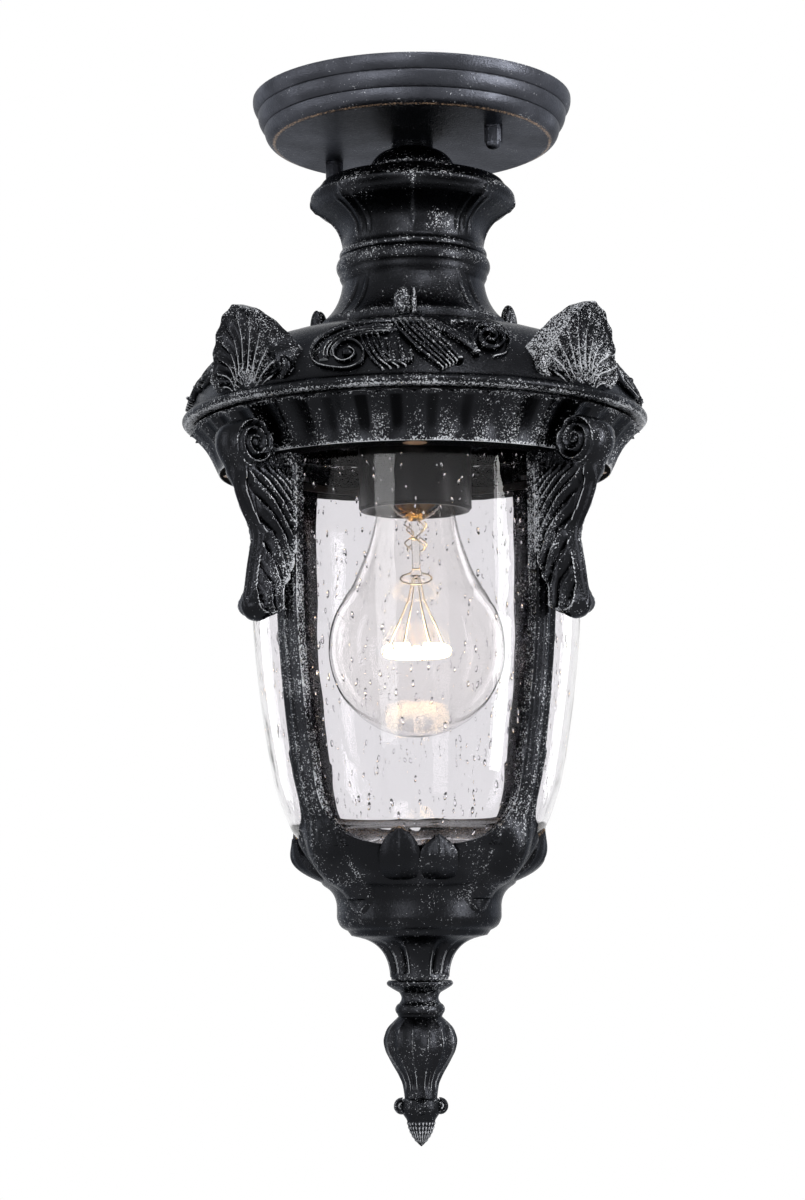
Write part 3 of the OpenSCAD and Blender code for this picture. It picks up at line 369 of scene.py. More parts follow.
def make_materials():
    """One material for each finish."""
    c = colours()
    MATERIALS.update({
        "cast": brushed_paint("cast_paint", tuple(c.black)),
        "relief": brushed_paint("cast_paint_brushed", tuple(c.black), threshold=0.655,
                                roughness=0.19, mottle=0.85),
        "gloss": brushed_paint("cast_paint_gloss", tuple(c.black), threshold=0.675, roughness=0.17,
                               mottle=0.6),
        "canopy": brushed_paint("canopy_paint", tuple(c.canopy), threshold=0.74, roughness=0.36,
                                grain_size=0.6),
        "ring": ring_paint("ring_paint"),
        "strap": plain_metal("zinc_plate", (0.55, 0.56, 0.57), 0.38),
        "steel": plain_metal("fastener_zinc", (0.50, 0.50, 0.51), 0.32),
        "green": plain_metal("green_screw", (0.04, 0.24, 0.09), 0.35),
        "copper": plain_metal("bare_copper", (0.62, 0.28, 0.15), 0.3),
        "orange": moulded("orange_plastic", (0.78, 0.20, 0.02), 0.38),
        "black_wire": moulded("black_insulation", (0.012, 0.012, 0.013), 0.4),
        "white_wire": moulded("white_insulation", (0.74, 0.73, 0.70), 0.42),
        "brass": plain_metal("turned_brass", (0.62, 0.43, 0.17), 0.28),
        "bronze": plain_metal("bronzed_screw", (0.20, 0.11, 0.06), 0.42),
        "socket": moulded("black_phenolic", (0.006, 0.006, 0.0065), 0.34, specular=0.2),
        "shell_metal": plain_metal("socket_copper", (0.66, 0.33, 0.14), 0.30),
        "gasket": moulded("gasket_rubber", (0.02, 0.019, 0.019), 0.6),
        "tip": plain_metal("solder_tip", (0.55, 0.55, 0.56), 0.35),
        "insulator": moulded("vitreous_black", (0.012, 0.012, 0.02), 0.12),
        "base": plain_metal("lamp_base_brass", (0.68, 0.48, 0.22), 0.26),
        "jar": clear_glass("seeded_glass", tuple(c.glass), wave=0.10),
        "seed": clear_glass("glass_seeds", (0.97, 0.96, 0.98), ior=1.5),
        "lamp_glass": clear_glass("lamp_glass", (0.985, 0.975, 0.965), sheen=0.12),
        "stem_glass": clear_glass("stem_glass", (0.97, 0.96, 0.94)),
        "support": plain_metal("support_wire", (0.45, 0.42, 0.38), 0.35),
        "filament": glowing("filament_glow", tuple(c.glow), 420.0),
    })


def ring_paint(name):
    """The ring plate's paint, worn to bronze round its bore."""
    made = Finish(name)
    split = made.node("ShaderNodeSeparateXYZ", {}, {0: made.place})
    x, y = split, Socket(made, split.output.node.outputs[1])
    radius = (x * x + y * y).math("SQRT", 0.0) / MM
    grain = made.noise(0.5, 3.0, 0.6)
    worn = 1 - (radius + (grain - 0.5) * 0.6).smooth(GLASS_R + 0.9, GLASS_R + 1.3)
    ground = tuple(colours().black)
    shade = made.mix(grain.smooth(0.66, 0.72), ground, tuple(0.6 * c for c in colours().silver))
    shade = made.mix(worn, shade, tuple(0.35 * c for c in colours().bronze))
    return made.finish(Base_Color=shade, Metallic=1.0, Roughness=0.5 + worn * 0.1,
                       Specular_Tint=(0.12, 0.11, 0.10, 1.0), Normal=made.bump(grain, 0.06, 0.5))


# ---------------------------------------------------------------- lines and meshes


def bow(p, q, sagitta, steps=16):
    """Points of a bowed line from p to q. A positive sagitta bulges to the left of a line that
    runs up, which is away from the axis on a line that runs down."""
    p, q = np.array(p, float), np.array(q, float)
    d = q - p
    t = np.linspace(0, 1, steps + 1)[:, None]
    side = np.array([-d[1], d[0]]) / np.linalg.norm(d)
    return (p + d * t + sagitta * 4 * t * (1 - t) * side).tolist()


def smoothstep(x, start, end):
    """0 below start and 1 above end, with a soft step between."""
    t = np.clip((x - start) / (end - start), 0, 1)
    return t * t * (3 - 2 * t)


def bell(x, middle, width):
    """1 at the middle, falling smoothly to 0 at width either side."""
    t = np.clip(1 - np.abs(x - middle) / width, 0, 1)
    return t * t * (3 - 2 * t)


def radius_at(line, z):
    """Radius of a line that runs down, at heights z."""
    return np.interp(z, [p[1] for p in line][::-1], [p[0] for p in line][::-1])


def side_angle(x, y):
    """Degrees from the middle of the nearest side, between 0 and 45."""
    return np.abs((np.degrees(np.arctan2(y, x)) + 360 + 45) % 90 - 45)


def from_axis(x, y, angle):
    """How far out and how far across points lie, seen along an angle in degrees."""
    a = math.radians(angle)
    return x * math.cos(a) + y * math.sin(a), -x * math.sin(a) + y * math.cos(a)


def spaced(line, step):
    """The same line with points about step apart, its corners kept."""
    points = [line[0]]
    for p, q in zip(line, line[1:]):
        count = max(1, int(math.ceil(math.dist(p, q) / step)))
        points += [[p[0] + (q[0] - p[0]) * i / count, p[1] + (q[1] - p[1]) * i / count]
                   for i in range(1, count + 1)]
    return points


def smooth_path(points, count):
    """A Catmull-Rom curve of count points through the given ones."""
    points = np.array(points, float)
    padded = np.vstack([2 * points[0] - points[1], points, 2 * points[-1] - points[-2]])
    ts = np.linspace(0, len(points) - 1, count)
    index = np.minimum(ts.astype(int), len(points) - 2)
    t = (ts - index)[:, None]
    a, b, c, d = (padded[index + k] for k in range(4))
    return 0.5 * (2 * b + (c - a) * t + (2 * a - 5 * b + 4 * c - d) * t ** 2
                  + (3 * b - a - 3 * c + d) * t ** 3)


def grid_faces(rows, columns, closed_rows=False, closed_columns=False):
    """Quads of a grid of rows by columns vertices."""
    i = np.arange(rows if closed_rows else rows - 1)
    j = np.arange(columns if closed_columns else columns - 1)
    i, j = np.meshgrid(i, j, indexing="ij")
    a, b = i * columns + j, i * columns + (j + 1) % columns
    c, d = ((i + 1) % rows) * columns + (j + 1) % columns, ((i + 1) % rows) * columns + j
    return np.stack([a, b, c, d], -1).reshape(-1, 4).tolist()


def tube_faces(rows, around):
    """Faces of a tube that is closed at both ends."""
    return (grid_faces(rows, around, False, True)
            + [list(range(around))[::-1], [(rows - 1) * around + i for i in range(around)]])


def slab_faces(rows, columns):
    """Faces of a slab between two grids of vertices, the second behind the first."""
    total = rows * columns
    faces = grid_faces(rows, columns)
    faces += [[i + total for i in f[::-1]] for f in faces]
    rim = ([i for i in range(columns)] + [i * columns + columns - 1 for i in range(1, rows)]
           + [(rows - 1) * columns + i for i in range(columns - 2, -1, -1)]
           + [i * columns for i in range(rows - 2, 0, -1)])
    return faces + [[p, q, q + total, p + total] for p, q in zip(rim, rim[1:] + rim[:1])]


def lathe(profile, segments=SEGMENTS, shape=None):
    """A closed outline of (radius, height) points turned round the axis. shape(r, z, angle)
    returns the changed r and z."""
    outline = np.array(profile, float)
    angle = np.linspace(0, 2 * math.pi, segments, endpoint=False)
    r, a = np.meshgrid(outline[:, 0], angle, indexing="ij")
    z = np.repeat(outline[:, 1][:, None], segments, 1)
    if shape:
        r, z = shape(r, z, a)
    verts = np.stack([r * np.cos(a), r * np.sin(a), z], -1).reshape(-1, 3)
    return verts, grid_faces(len(outline), segments, True, True)


def turned(geometry, degrees):
    """The geometry turned about the axis."""
    verts, faces = geometry
    a = math.radians(degrees)
    turn = np.array([[math.cos(a), math.sin(a), 0], [-math.sin(a), math.cos(a), 0], [0, 0, 1]])
    return verts @ turn, faces


def joined(*parts):
    """Several geometries as one."""
    verts, faces, start = [], [], 0
    for v, f in parts:
        verts.append(v)
        faces += [[i + start for i in face] for face in f]
        start += len(v)
    return np.vstack(verts), faces


def upright(radius, low_z, high_z, x, y, segments=32):
    """A closed upright cylinder."""
    verts, faces = lathe([[0, low_z], [radius, low_z], [radius, high_z], [0, high_z]], segments)
    return verts + np.array([x, y, 0]), faces


def ball(centre, radii, segments=24, rings=14):
    """A closed ellipsoid."""
    line = [[math.sin(math.pi * i / rings), -math.cos(math.pi * i / rings)]
            for i in range(rings + 1)]
    verts, faces = lathe(line, segments)
    return verts * np.array(radii) + np.array(centre), faces


def ribbon(path, widths, heights, place, around=12, sink=0.9):
    """A raised rounded band along a path of (across, along) points. place(x, s, h) gives the point
    that lies h above the surface at x, s."""
    path = np.array(path, float)
    count = len(path)
    step = np.gradient(path, axis=0)
    step /= np.maximum(np.linalg.norm(step, axis=1)[:, None], 1e-9)
    side = np.stack([-step[:, 1], step[:, 0]], 1)
    t = np.linspace(0, 1, count)
    width = np.interp(t, np.linspace(0, 1, len(widths)), widths)
    height = np.interp(t, np.linspace(0, 1, len(heights)), heights)
    a = np.linspace(0, 2 * math.pi, around, endpoint=False)
    x = path[:, :1] + side[:, :1] * width[:, None] * np.cos(a) / 2
    s = path[:, 1:] + side[:, 1:] * width[:, None] * np.cos(a) / 2
    lift = np.where(np.sin(a) >= 0, height[:, None] * np.abs(np.sin(a)) ** 0.8, sink * np.sin(a))
    verts = place(x, s, lift)
    return verts.reshape(-1, 3), tube_faces(count, around)


def face_region(outline, spacing, height):
    """A flat outline filled with a fine net of points, as (points, triangles). height(x, z, edge)
    gives the third coordinate, where edge is the distance to the outline."""
    line = np.array(outline, float)
    lo, hi = line.min(0), line.max(0)
    xs, zs = np.arange(lo[0], hi[0], spacing), np.arange(lo[1], hi[1], spacing)
    gx, gz = np.meshgrid(xs, zs)
    gx[::2] += spacing / 2
    inner = np.stack([gx.ravel(), gz.ravel()], 1)
    edge, inside = outline_distance(inner, line)
    inner = inner[inside & (edge > spacing * 0.6)]
    points = [Vector(p) for p in np.vstack([line, inner])]
    loop = [(i, (i + 1) % len(line)) for i in range(len(line))]
    verts, _, faces, _, _, _ = delaunay_2d_cdt(points, loop, [list(range(len(line)))], 1, 1e-5)
    flat = np.array([tuple(v) for v in verts])
    edge, _ = outline_distance(flat, line)
    return flat, [list(f) for f in faces], height(flat[:, 0], flat[:, 1], edge)


def outline_distance(points, line):
    """Distance of each point to a closed line, and whether it is inside."""
    a, b = line, np.roll(line, -1, 0)
    d = b - a
    t = np.einsum("pij,ij->pi", points[:, None] - a, d) / np.maximum((d * d).sum(1), 1e-12)
    near = a + np.clip(t, 0, 1)[..., None] * d
    distance = np.linalg.norm(points[:, None] - near, axis=2).min(1)
    crossing = (a[:, 1] > points[:, 1:2]) != (b[:, 1] > points[:, 1:2])
    slope = np.where(d[:, 1] == 0, 1e-12, d[:, 1])
    at = a[:, 0] + (points[:, 1:2] - a[:, 1]) * d[:, 0] / slope
    inside = (crossing & (points[:, 0:1] < at)).sum(1) % 2 == 1
    return distance, inside


# ---------------------------------------------------------------- pieces


def curvature(mesh):
    """Coordinates in millimetres, and the mean curvature at each vertex in 1/mm, smoothed and
    as it is. It is positive on raised edges."""
    count = len(mesh.vertices)
    co = np.empty(count * 3)
    mesh.vertices.foreach_get("co", co)
    co = co.reshape(-1, 3) / MM
    normal = np.empty(count * 3)
    mesh.vertex_normals.foreach_get("vector", normal)
    normal = normal.reshape(-1, 3)
    edges = np.empty(len(mesh.edges) * 2, int)
    mesh.edges.foreach_get("vertices", edges)
    a, b = edges.reshape(-1, 2).T
    d = co[b] - co[a]
    length2 = np.maximum((d * d).sum(1), 0.01)
    total, share = np.zeros(count), np.zeros(count)
    for i, sign in ((a, -1), (b, 1)):
        np.add.at(total, i, sign * 2 * (normal[i] * d).sum(1) / length2)
        np.add.at(share, i, 1)
    bend = total / np.maximum(share, 1)
    crest = bend
    for _ in range(2):
        mean = np.zeros(count)
        np.add.at(mean, a, bend[b])
        np.add.at(mean, b, bend[a])
        bend = 0.5 * bend + 0.5 * mean / np.maximum(share, 1)
    return co, bend, crest


def store(mesh, name, values):
    """Keeps a number for each vertex."""
    attribute = mesh.attributes.new(name, "FLOAT", "POINT")
    attribute.data.foreach_set("value", np.asarray(values, np.float32))


def placed(name, data):
    """A new object in the scene."""
    made = bpy.data.objects.new(name, data)
    bpy.context.scene.collection.objects.link(made)
    return made


def new_mesh(name, geometry, weld=WELD):
    """A mesh from millimetre geometry. Its doubles are merged unless weld is 0."""
    verts, faces = geometry
    mesh = bpy.data.meshes.new(name)
    mesh.from_pydata((np.asarray(verts, float).reshape(-1, 3) * MM).tolist(), [], faces)
    if weld:
        clean(mesh, weld)
    return mesh


def smooth_shaded(mesh, sharp):
    """Shades a mesh smoothly, but for edges that bend more than sharp degrees."""
    mesh.shade_smooth()
    mesh.set_sharp_from_angle(angle=math.radians(sharp))


def add_piece(name, geometry, finish, body, replaced=(), brush_and_shade=None, bronze=None,
              wear=0.9, edge=0.8, sharp=38):
    """Makes a piece of the lantern from millimetre geometry. The first function of the coordinates
    gives each vertex its silver, and painted shade where it is negative; the second gives its
    bronze."""
    mesh = new_mesh(name, geometry)
    smooth_shaded(mesh, sharp)
    piece = placed(name, mesh)
    mesh.materials.append(MATERIALS[finish])
    paint_attributes(mesh, brush_and_shade, bronze, wear, edge)
    declare(piece, body, replaced)
    return piece


def clean(mesh, weld):
    """Merges doubles and turns the faces outwards."""
    work = bmesh.new()
    work.from_mesh(mesh)
    bmesh.ops.remove_doubles(work, verts=work.verts, dist=weld * MM)
    bmesh.ops.dissolve_degenerate(work, edges=work.edges, dist=1e-7)
    bmesh.ops.recalc_face_normals(work, faces=work.faces)
    work.to_mesh(mesh)
    work.free()


def paint_attributes(mesh, brush_and_shade=None, bronze=None, wear=0.9, edge=0.8):
    """Stores what the paint reads: how worn, how silver and how bronze each vertex is, and where
    its creases get painted shade.
    """
    co, bend, crest = curvature(mesh)
    share = edge(*co.T) if callable(edge) else edge
    store(mesh, "edge", np.clip(crest, 0, 3) * share)
    # Negative curvature in creases gives negative values, which the paint turns into painted shade;
    # raised edges get silver.
    silver = np.clip(bend, -0.6, 0.9) * wear
    if brush_and_shade:
        silver = silver + brush_and_shade(*co.T)
    store(mesh, "brush_and_shade", silver)
    if bronze:
        store(mesh, "bronze", bronze(*co.T))


def declare(piece, body, replaced):
    """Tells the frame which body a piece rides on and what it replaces."""
    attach(piece, body)
    if replaced:
        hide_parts(*replaced)


def dress(finish, *nodes):
    """Gives CAD nodes their material."""
    for node in nodes:
        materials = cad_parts[node].data.materials
        materials.clear()
        materials.append(MATERIALS[finish])


# ---------------------------------------------------------------- geometry node trees


def new_group(name, inputs):
    """A geometry tree whose inputs lie between its geometry and its material, and a socket for
    each. inputs names them with their types."""
    group = bpy.data.node_groups.new(name, "GeometryNodeTree")
    given = {"Geometry": "Geometry", **inputs, "Material": "Material"}
    for label, kind in given.items():
        group.interface.new_socket(label, in_out="INPUT", socket_type="NodeSocket" + kind)
    group.interface.new_socket("Geometry", in_out="OUTPUT", socket_type="NodeSocketGeometry")
    tree = Tree(group)
    outputs = group.nodes.new("NodeGroupInput").outputs
    return tree, [Socket(tree, outputs[i]) for i in range(len(given))]


def closed_group(tree, geometry, material):
    """Ends a geometry tree with its instances made real and its faces in their material."""
    real = tree.node("GeometryNodeRealizeInstances", {}, {"Geometry": geometry})
    done = tree.node("GeometryNodeSetMaterial", {}, {"Geometry": real, "Material": material})
    tree.node("NodeGroupOutput", {}, {0: done})
    return tree.tree


def flute_tree():
    """Scoops flutes out of a turned piece: its flute attribute says how deep each point goes."""
    tree, (shape, count, depth, sharpness, material) = new_group(
        "Flutes", {"Count": "Int", "Depth": "Float", "Sharpness": "Float"})
    place = tree.node("GeometryNodeInputPosition")
    split = tree.node("ShaderNodeSeparateXYZ", {}, {0: place})
    y = Socket(tree, split.output.node.outputs[1])
    angle = y.math("ARCTAN2", split)
    wave = (angle * count * 0.5).math("SINE", 0.0).math("ABSOLUTE", 0.0).math("POWER", sharpness)
    weight = tree.node("GeometryNodeInputNamedAttribute", {"data_type": "FLOAT"},
                       {"Name": "flute"})
    flat = tree.node("ShaderNodeCombineXYZ", {}, {0: split, 1: y})
    outwards = tree.node("ShaderNodeVectorMath", {"operation": "NORMALIZE"}, {0: flat})
    offset = tree.node("ShaderNodeVectorMath", {"operation": "SCALE"},
                       {0: outwards, "Scale": wave * weight * depth * -1.0})
    moved = tree.node("GeometryNodeSetPosition", {}, {"Geometry": shape, "Offset": offset})
    return closed_group(tree, moved, material)


def ring_tree():
    """Repeats a shape round the axis."""
    tree, (shape, count, material) = new_group("Ring of copies", {"Count": "Int"})
    single = tree.node("GeometryNodeGeometryToInstance", {}, {"Geometry": shape})
    copies = tree.node("GeometryNodeDuplicateElements", {"domain": "INSTANCE"},
                       {"Geometry": single, "Amount": count})
    index = Socket(tree, copies.output.node.outputs["Duplicate Index"])
    angle = index * (2 * math.pi) / count
    spin = tree.node("ShaderNodeCombineXYZ", {}, {2: angle})
    turned_copies = tree.node("GeometryNodeRotateInstances", {},
                              {"Instances": copies, "Rotation": spin, "Local Space": False})
    return closed_group(tree, turned_copies, material)


def seed_tree():
    """Scatters small upright bubbles over a surface."""
    tree, (shape, density, spacing, length, seed, material) = new_group(
        "Glass seeds", {"Density": "Float", "Spacing": "Float", "Length": "Float", "Seed": "Int"})
    points = tree.node("GeometryNodeDistributePointsOnFaces", {"distribute_method": "POISSON"},
                       {"Mesh": shape, "Distance Min": spacing, "Density Max": density,
                        "Seed": seed})
    bubble = tree.node("GeometryNodeMeshUVSphere", {},
                       {"Segments": 7, "Rings": 5, "Radius": 0.5})
    size = tree.node("FunctionNodeRandomValue", {"data_type": "FLOAT"},
                     {2: 0.35, 3: 1.0, "Seed": seed}, output=1)
    slim = tree.node("FunctionNodeRandomValue", {"data_type": "FLOAT"},
                     {2: 0.2, 3: 0.45, "Seed": 7}, output=1)
    tall = size * size * length
    wide = tall * slim
    scale = tree.node("ShaderNodeCombineXYZ", {}, {0: wide, 1: wide, 2: tall})
    lean = tree.node("FunctionNodeRandomValue", {"data_type": "FLOAT_VECTOR"},
                     {0: (-0.25, -0.25, 0.0), 1: (0.25, 0.25, 3.0), "Seed": 11})
    copies = tree.node("GeometryNodeInstanceOnPoints", {},
                       {"Points": points, "Instance": bubble, "Rotation": lean, "Scale": scale})
    smooth = tree.node("GeometryNodeSetShadeSmooth", {}, {"Geometry": copies})
    return closed_group(tree, smooth, material)


def coil_tree():
    """A wire wound along a ring: a coiled curve swept with a round section."""
    tree, (_, ring, coil, wire_r, turns, height, material) = new_group(
        "Coiled wire", {"Ring radius": "Float", "Coil radius": "Float", "Wire radius": "Float",
                        "Turns": "Float", "Height": "Float"})
    count, sweep, start = 1400, math.radians(330), math.radians(-75)
    line = tree.node("GeometryNodeMeshLine", {}, {"Count": count})
    share = tree.node("GeometryNodeInputIndex") / (count - 1.0)
    round_angle = share * sweep + start
    wound = share * turns * (2 * math.pi)
    reach = ring + coil * wound.math("COSINE", 0.0)
    place = tree.node("ShaderNodeCombineXYZ", {}, {
        0: reach * round_angle.math("COSINE", 0.0),
        1: reach * round_angle.math("SINE", 0.0),
        2: height + coil * wound.math("SINE", 0.0)})
    laid = tree.node("GeometryNodeSetPosition", {}, {"Geometry": line, "Position": place})
    curve = tree.node("GeometryNodeMeshToCurve", {}, {"Mesh": laid})
    section = tree.node("GeometryNodeCurvePrimitiveCircle", {},
                        {"Resolution": 6, "Radius": wire_r})
    swept = tree.node("GeometryNodeCurveToMesh", {},
                      {"Curve": curve, "Profile Curve": section, "Fill Caps": True})
    smooth = tree.node("GeometryNodeSetShadeSmooth", {}, {"Geometry": swept})
    return closed_group(tree, smooth, material)


def run_tree(piece, group, values):
    """Evaluates a tree on a piece and keeps the result as its plain mesh."""
    modifier = piece.modifiers.new(group.name, "NODES")
    modifier.node_group = group
    for item in group.interface.items_tree:
        if item.in_out == "INPUT" and item.name in values:
            modifier[item.identifier] = values[item.name]
    graph = bpy.context.evaluated_depsgraph_get()
    result = bpy.data.meshes.new_from_object(piece.evaluated_get(graph))
    piece.modifiers.remove(modifier)
    old, piece.data = piece.data, result
    bpy.data.meshes.remove(old)
    result.name = piece.name
    return piece


def tree_piece(name, geometry, group, values, finish, body, replaced=(),
               brush_and_shade=None, bronze=None, flute=None, wear=0.9, edge=0.8, sharp=38,
               keep_faces=False):
    """A piece whose mesh a node tree finishes. flute gives each vertex its share of the flutes."""
    piece = placed(name, new_mesh(name, geometry, 0 if keep_faces else WELD))
    if flute:
        co = np.array([v.co for v in piece.data.vertices]) / MM
        store(piece.data, "flute", flute(*co.T))
    run_tree(piece, group, {**values, "Material": MATERIALS[finish]})
    mesh = piece.data
    if not keep_faces:
        clean(mesh, WELD)
        smooth_shaded(mesh, sharp)
    if mesh.attributes.get("flute"):
        mesh.attributes.remove(mesh.attributes["flute"])
    if finish in ("cast", "relief", "canopy"):
        paint_attributes(mesh, brush_and_shade, bronze, wear, edge)
    declare(piece, body, replaced)
    return piece


TREES = {}


# ---------------------------------------------------------------- canopy, collar and neck


def canopy_line():
    """The canopy's side, from its top rim down to its flat bottom."""
    r, z = CANOPY_R, CANOPY_Z
    return (bow([r, 0], [r - 1.9, z * 0.32], 0.7)
            + bow([r - 1.7, z * 0.34], [r - 4.1, z * 0.67], 0.7)
            + bow([r - 3.9, z * 0.69], [r - 7.9, z], 1.1))


def make_canopy():
    """The pressed cover with its three bands."""
    wall, flat_r = 1.2, CANOPY_R - 9
    line = canopy_line()
    floor_z = CANOPY_Z + wall
    inner = [[p[0] - wall, p[1]] for p in line if p[1] > floor_z]
    underside = [[r, CANOPY_Z] for r in (CANOPY_R - 8.6, CANOPY_R - 9.6, CANOPY_R - 30)]
    outline = (line + underside + [[NIPPLE_BORE, CANOPY_Z], [NIPPLE_BORE, floor_z],
                                   [CANOPY_R - 8.4, floor_z]] + inner[::-1])

    def brush_and_shade(x, y, z):
        r = np.hypot(x, y)
        edge = bell(z, CANOPY_Z + 0.3, 1.2) * (r > flat_r)
        # The flat underside gets a little more silver as a painted reflection of the pale floor
        # below it.
        flat = (z < CANOPY_Z + 0.05) * (r < flat_r)
        return 0.30 * edge + 0.15 * bell(z, 0, 1.0) + 0.05 * flat

    def bronze(x, y, z):
        return 0.52 * bell(z, CANOPY_Z + 0.2, 0.9) * (np.hypot(x, y) > CANOPY_R - 8.2)

    return add_piece("canopy_cover", lathe(outline), "canopy", "housing", ["canopy"],
                     brush_and_shade, bronze, wear=0.5)


def make_collar():
    """The collar between the canopy and the neck."""
    top, foot = CANOPY_Z, FLANGE_Z
    outline = ([[NIPPLE_BORE, top], [7.2, top], [7.2, top - 2]]
               + bow([8.4, top - 2.6], [14.9, foot + 0.8], 1.3)
               + [[14.9, foot], [NIPPLE_BORE, foot]])
    return add_piece("neck_collar", lathe(outline, 128), "cast", "housing", ["collar"],
                     lambda x, y, z: 0.12 * bell(z, foot + 1, 2))


def neck_line():
    """Outside of the neck, from its flange down to the roof."""
    f, waist, bead, foot = FLANGE_Z, 24.3, 26.5, 32.3
    return ([[15.2, f], [31.5, f - 5.1]]
            + bow([33.3, f - 7.6], [35.4, f - 12.6], 1.0, 10)
            + bow([33.7, f - 14.6], [waist, f - 27.4], -2.4, 26)
            + bow([waist + 0.6, f - 28.6], [waist + 0.6, f - 31], 0.5, 8)
            + bow([bead - 1, f - 31.4], [bead - 1, f - 36.6], 1.0, 12)
            + [[waist + 1, f - 38], [waist + 0.1, f - 40]]
            + bow([waist + 0.5, f - 42.3], [foot - 0.4, ROOF_Z + 0.9], -1.2, 20)
            + [[foot, ROOF_Z]])


def make_neck():
    """The fluted neck with its bead."""
    f = FLANGE_Z
    line = spaced(neck_line(), 0.9)
    inside = [[p[0] - NECK_WALL, p[1]] for p in line if p[1] < f - 8]
    outline = line + inside[::-1] + [[NIPPLE_BORE, inside[0][1]], [NIPPLE_BORE, f]]
    verts, faces = lathe(outline, 384)
    angle = np.arctan2(verts[:, 1], verts[:, 0])
    radius = np.hypot(verts[:, 0], verts[:, 1])
    z = verts[:, 2]
    outside = radius > radius_at(neck_line(), z) - 1
    from_corner = np.abs((np.degrees(angle) + 360) % 90 - 45)
    fillets = bell(from_corner, 5.5, 2.2) * bell(z, (f - 41 + ROOF_Z) / 2, 9.5) * 0.7
    corner_ribs = (bell(from_corner, 7, 2.6) * smoothstep(z, f - 27, f - 24)
                   * smoothstep(-z, 13 - f, 15 - f) * 0.55)
    grow = np.where(outside, fillets + corner_ribs, 0) / np.maximum(radius, 1)
    verts[:, 0] *= 1 + grow
    verts[:, 1] *= 1 + grow

    def flute(x, y, z):
        r = np.hypot(x, y)
        waist = smoothstep(z, f - 27.6, f - 20) * (1 - smoothstep(z, f - 12.4, f - 9.5))
        return (r > radius_at(neck_line(), z) - 1) * waist

    def brush_and_shade(x, y, z):
        flare = smoothstep(z, f - 27, f - 15) * (1 - smoothstep(z, f - 10, f - 6))
        # Painted highlight: extra silver low on the flare's front right, where the key light falls.
        painted_highlight = bell(np.degrees(np.arctan2(y, x)), -70, 20) * bell(z, f - 23, 7)
        middle = bell(side_angle(x, y), 0, 7) * flare
        return (0.30 * bell(z, f - 8.4, 2.0) + 0.25 * middle + 0.75 * painted_highlight
                + 0.12 * bell(z, f - 34, 3) - 0.12)

    return tree_piece("neck_casting", (verts, faces), TREES["flutes"],
                      {"Count": sizes().neck_flutes, "Depth": 2.0 * MM, "Sharpness": 0.42},
                      "cast", "housing", ["neck"], brush_and_shade, None, flute)


# ---------------------------------------------------------------- roof


def dome_line(steps=28):
    """Outside of the roof's dome, from the neck out to the rim."""
    foot = [DOME_FOOT_R, RIM_TOP + 0.4]
    return ([[32.7, ROOF_Z]]
            + bow([33.1, ROOF_Z - 2.4], [SHOULDER_R, SHOULDER_Z], -0.6, steps // 2)
            + bow([SHOULDER_R + 1, SHOULDER_Z - 0.6], foot, 5, steps))


def roof_inside():
    """Inside of the roof's wall, from the neck out to the rim."""
    return ([[30.3, ROOF_Z - ROOF_WALL - 2], [SHOULDER_R - 1, SHOULDER_Z - ROOF_WALL]]
            + bow([SHOULDER_R - 0.5, SHOULDER_Z - ROOF_WALL - 0.6],
                  [DOME_FOOT_R - ROOF_WALL, RIM_TOP - 1.2], 4.7, 16))


def make_roof():
    """The roof with its rim, the lip inside the skirt and the screws' posts."""
    dome = dome_line()
    rim = bow([RIM_R - 1.5, RIM_TOP], [RIM_R - 1.5, RIM_LOW], 1.5, 14)
    ceiling = ROOF_Z - ROOF_WALL - 2
    outline = (spaced([[NIPPLE_BORE, ROOF_Z]] + dome + rim + [[RIM_R - 4.4, RIM_LOW]], 1.1)
               + roof_inside()[::-1] + [[NIPPLE_BORE, ceiling]])
    shell = lathe(outline, 320)
    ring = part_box("cage_screws")[1].x / MM - 4
    post_r, post_low = 4.5, low("roof").z
    posts = [turned(upright(post_r, post_low, RIM_LOW + 6, ring, 0), a) for a in SIDES]
    lip_in, lip_out, lip_top, lip_low = 71.4, 73.2, RIM_LOW + 3.4, SKIRT_Z - 0.9
    lip = lathe([[lip_in, lip_top], [lip_out, lip_top], [lip_out, lip_low], [lip_in, lip_low]],
                192)
    bead_r = RIM_R - 3.5

    def brush_and_shade(x, y, z):
        r = np.hypot(x, y)
        bead = bell(z, RIM_LOW + 1.6, 2.6) * (r > bead_r)
        under = bell(z, RIM_LOW + 0.3, 0.9) * (r > bead_r)
        return 0.27 * bead + 0.9 * under + 0.04 * bell(r, 62, 16) * (z > RIM_TOP) - 0.14

    return add_piece("roof_casting", joined(shell, lip, *posts), "cast", "housing", ["roof"],
                     brush_and_shade, wear=0.5)


# ---------------------------------------------------------------- corner shells


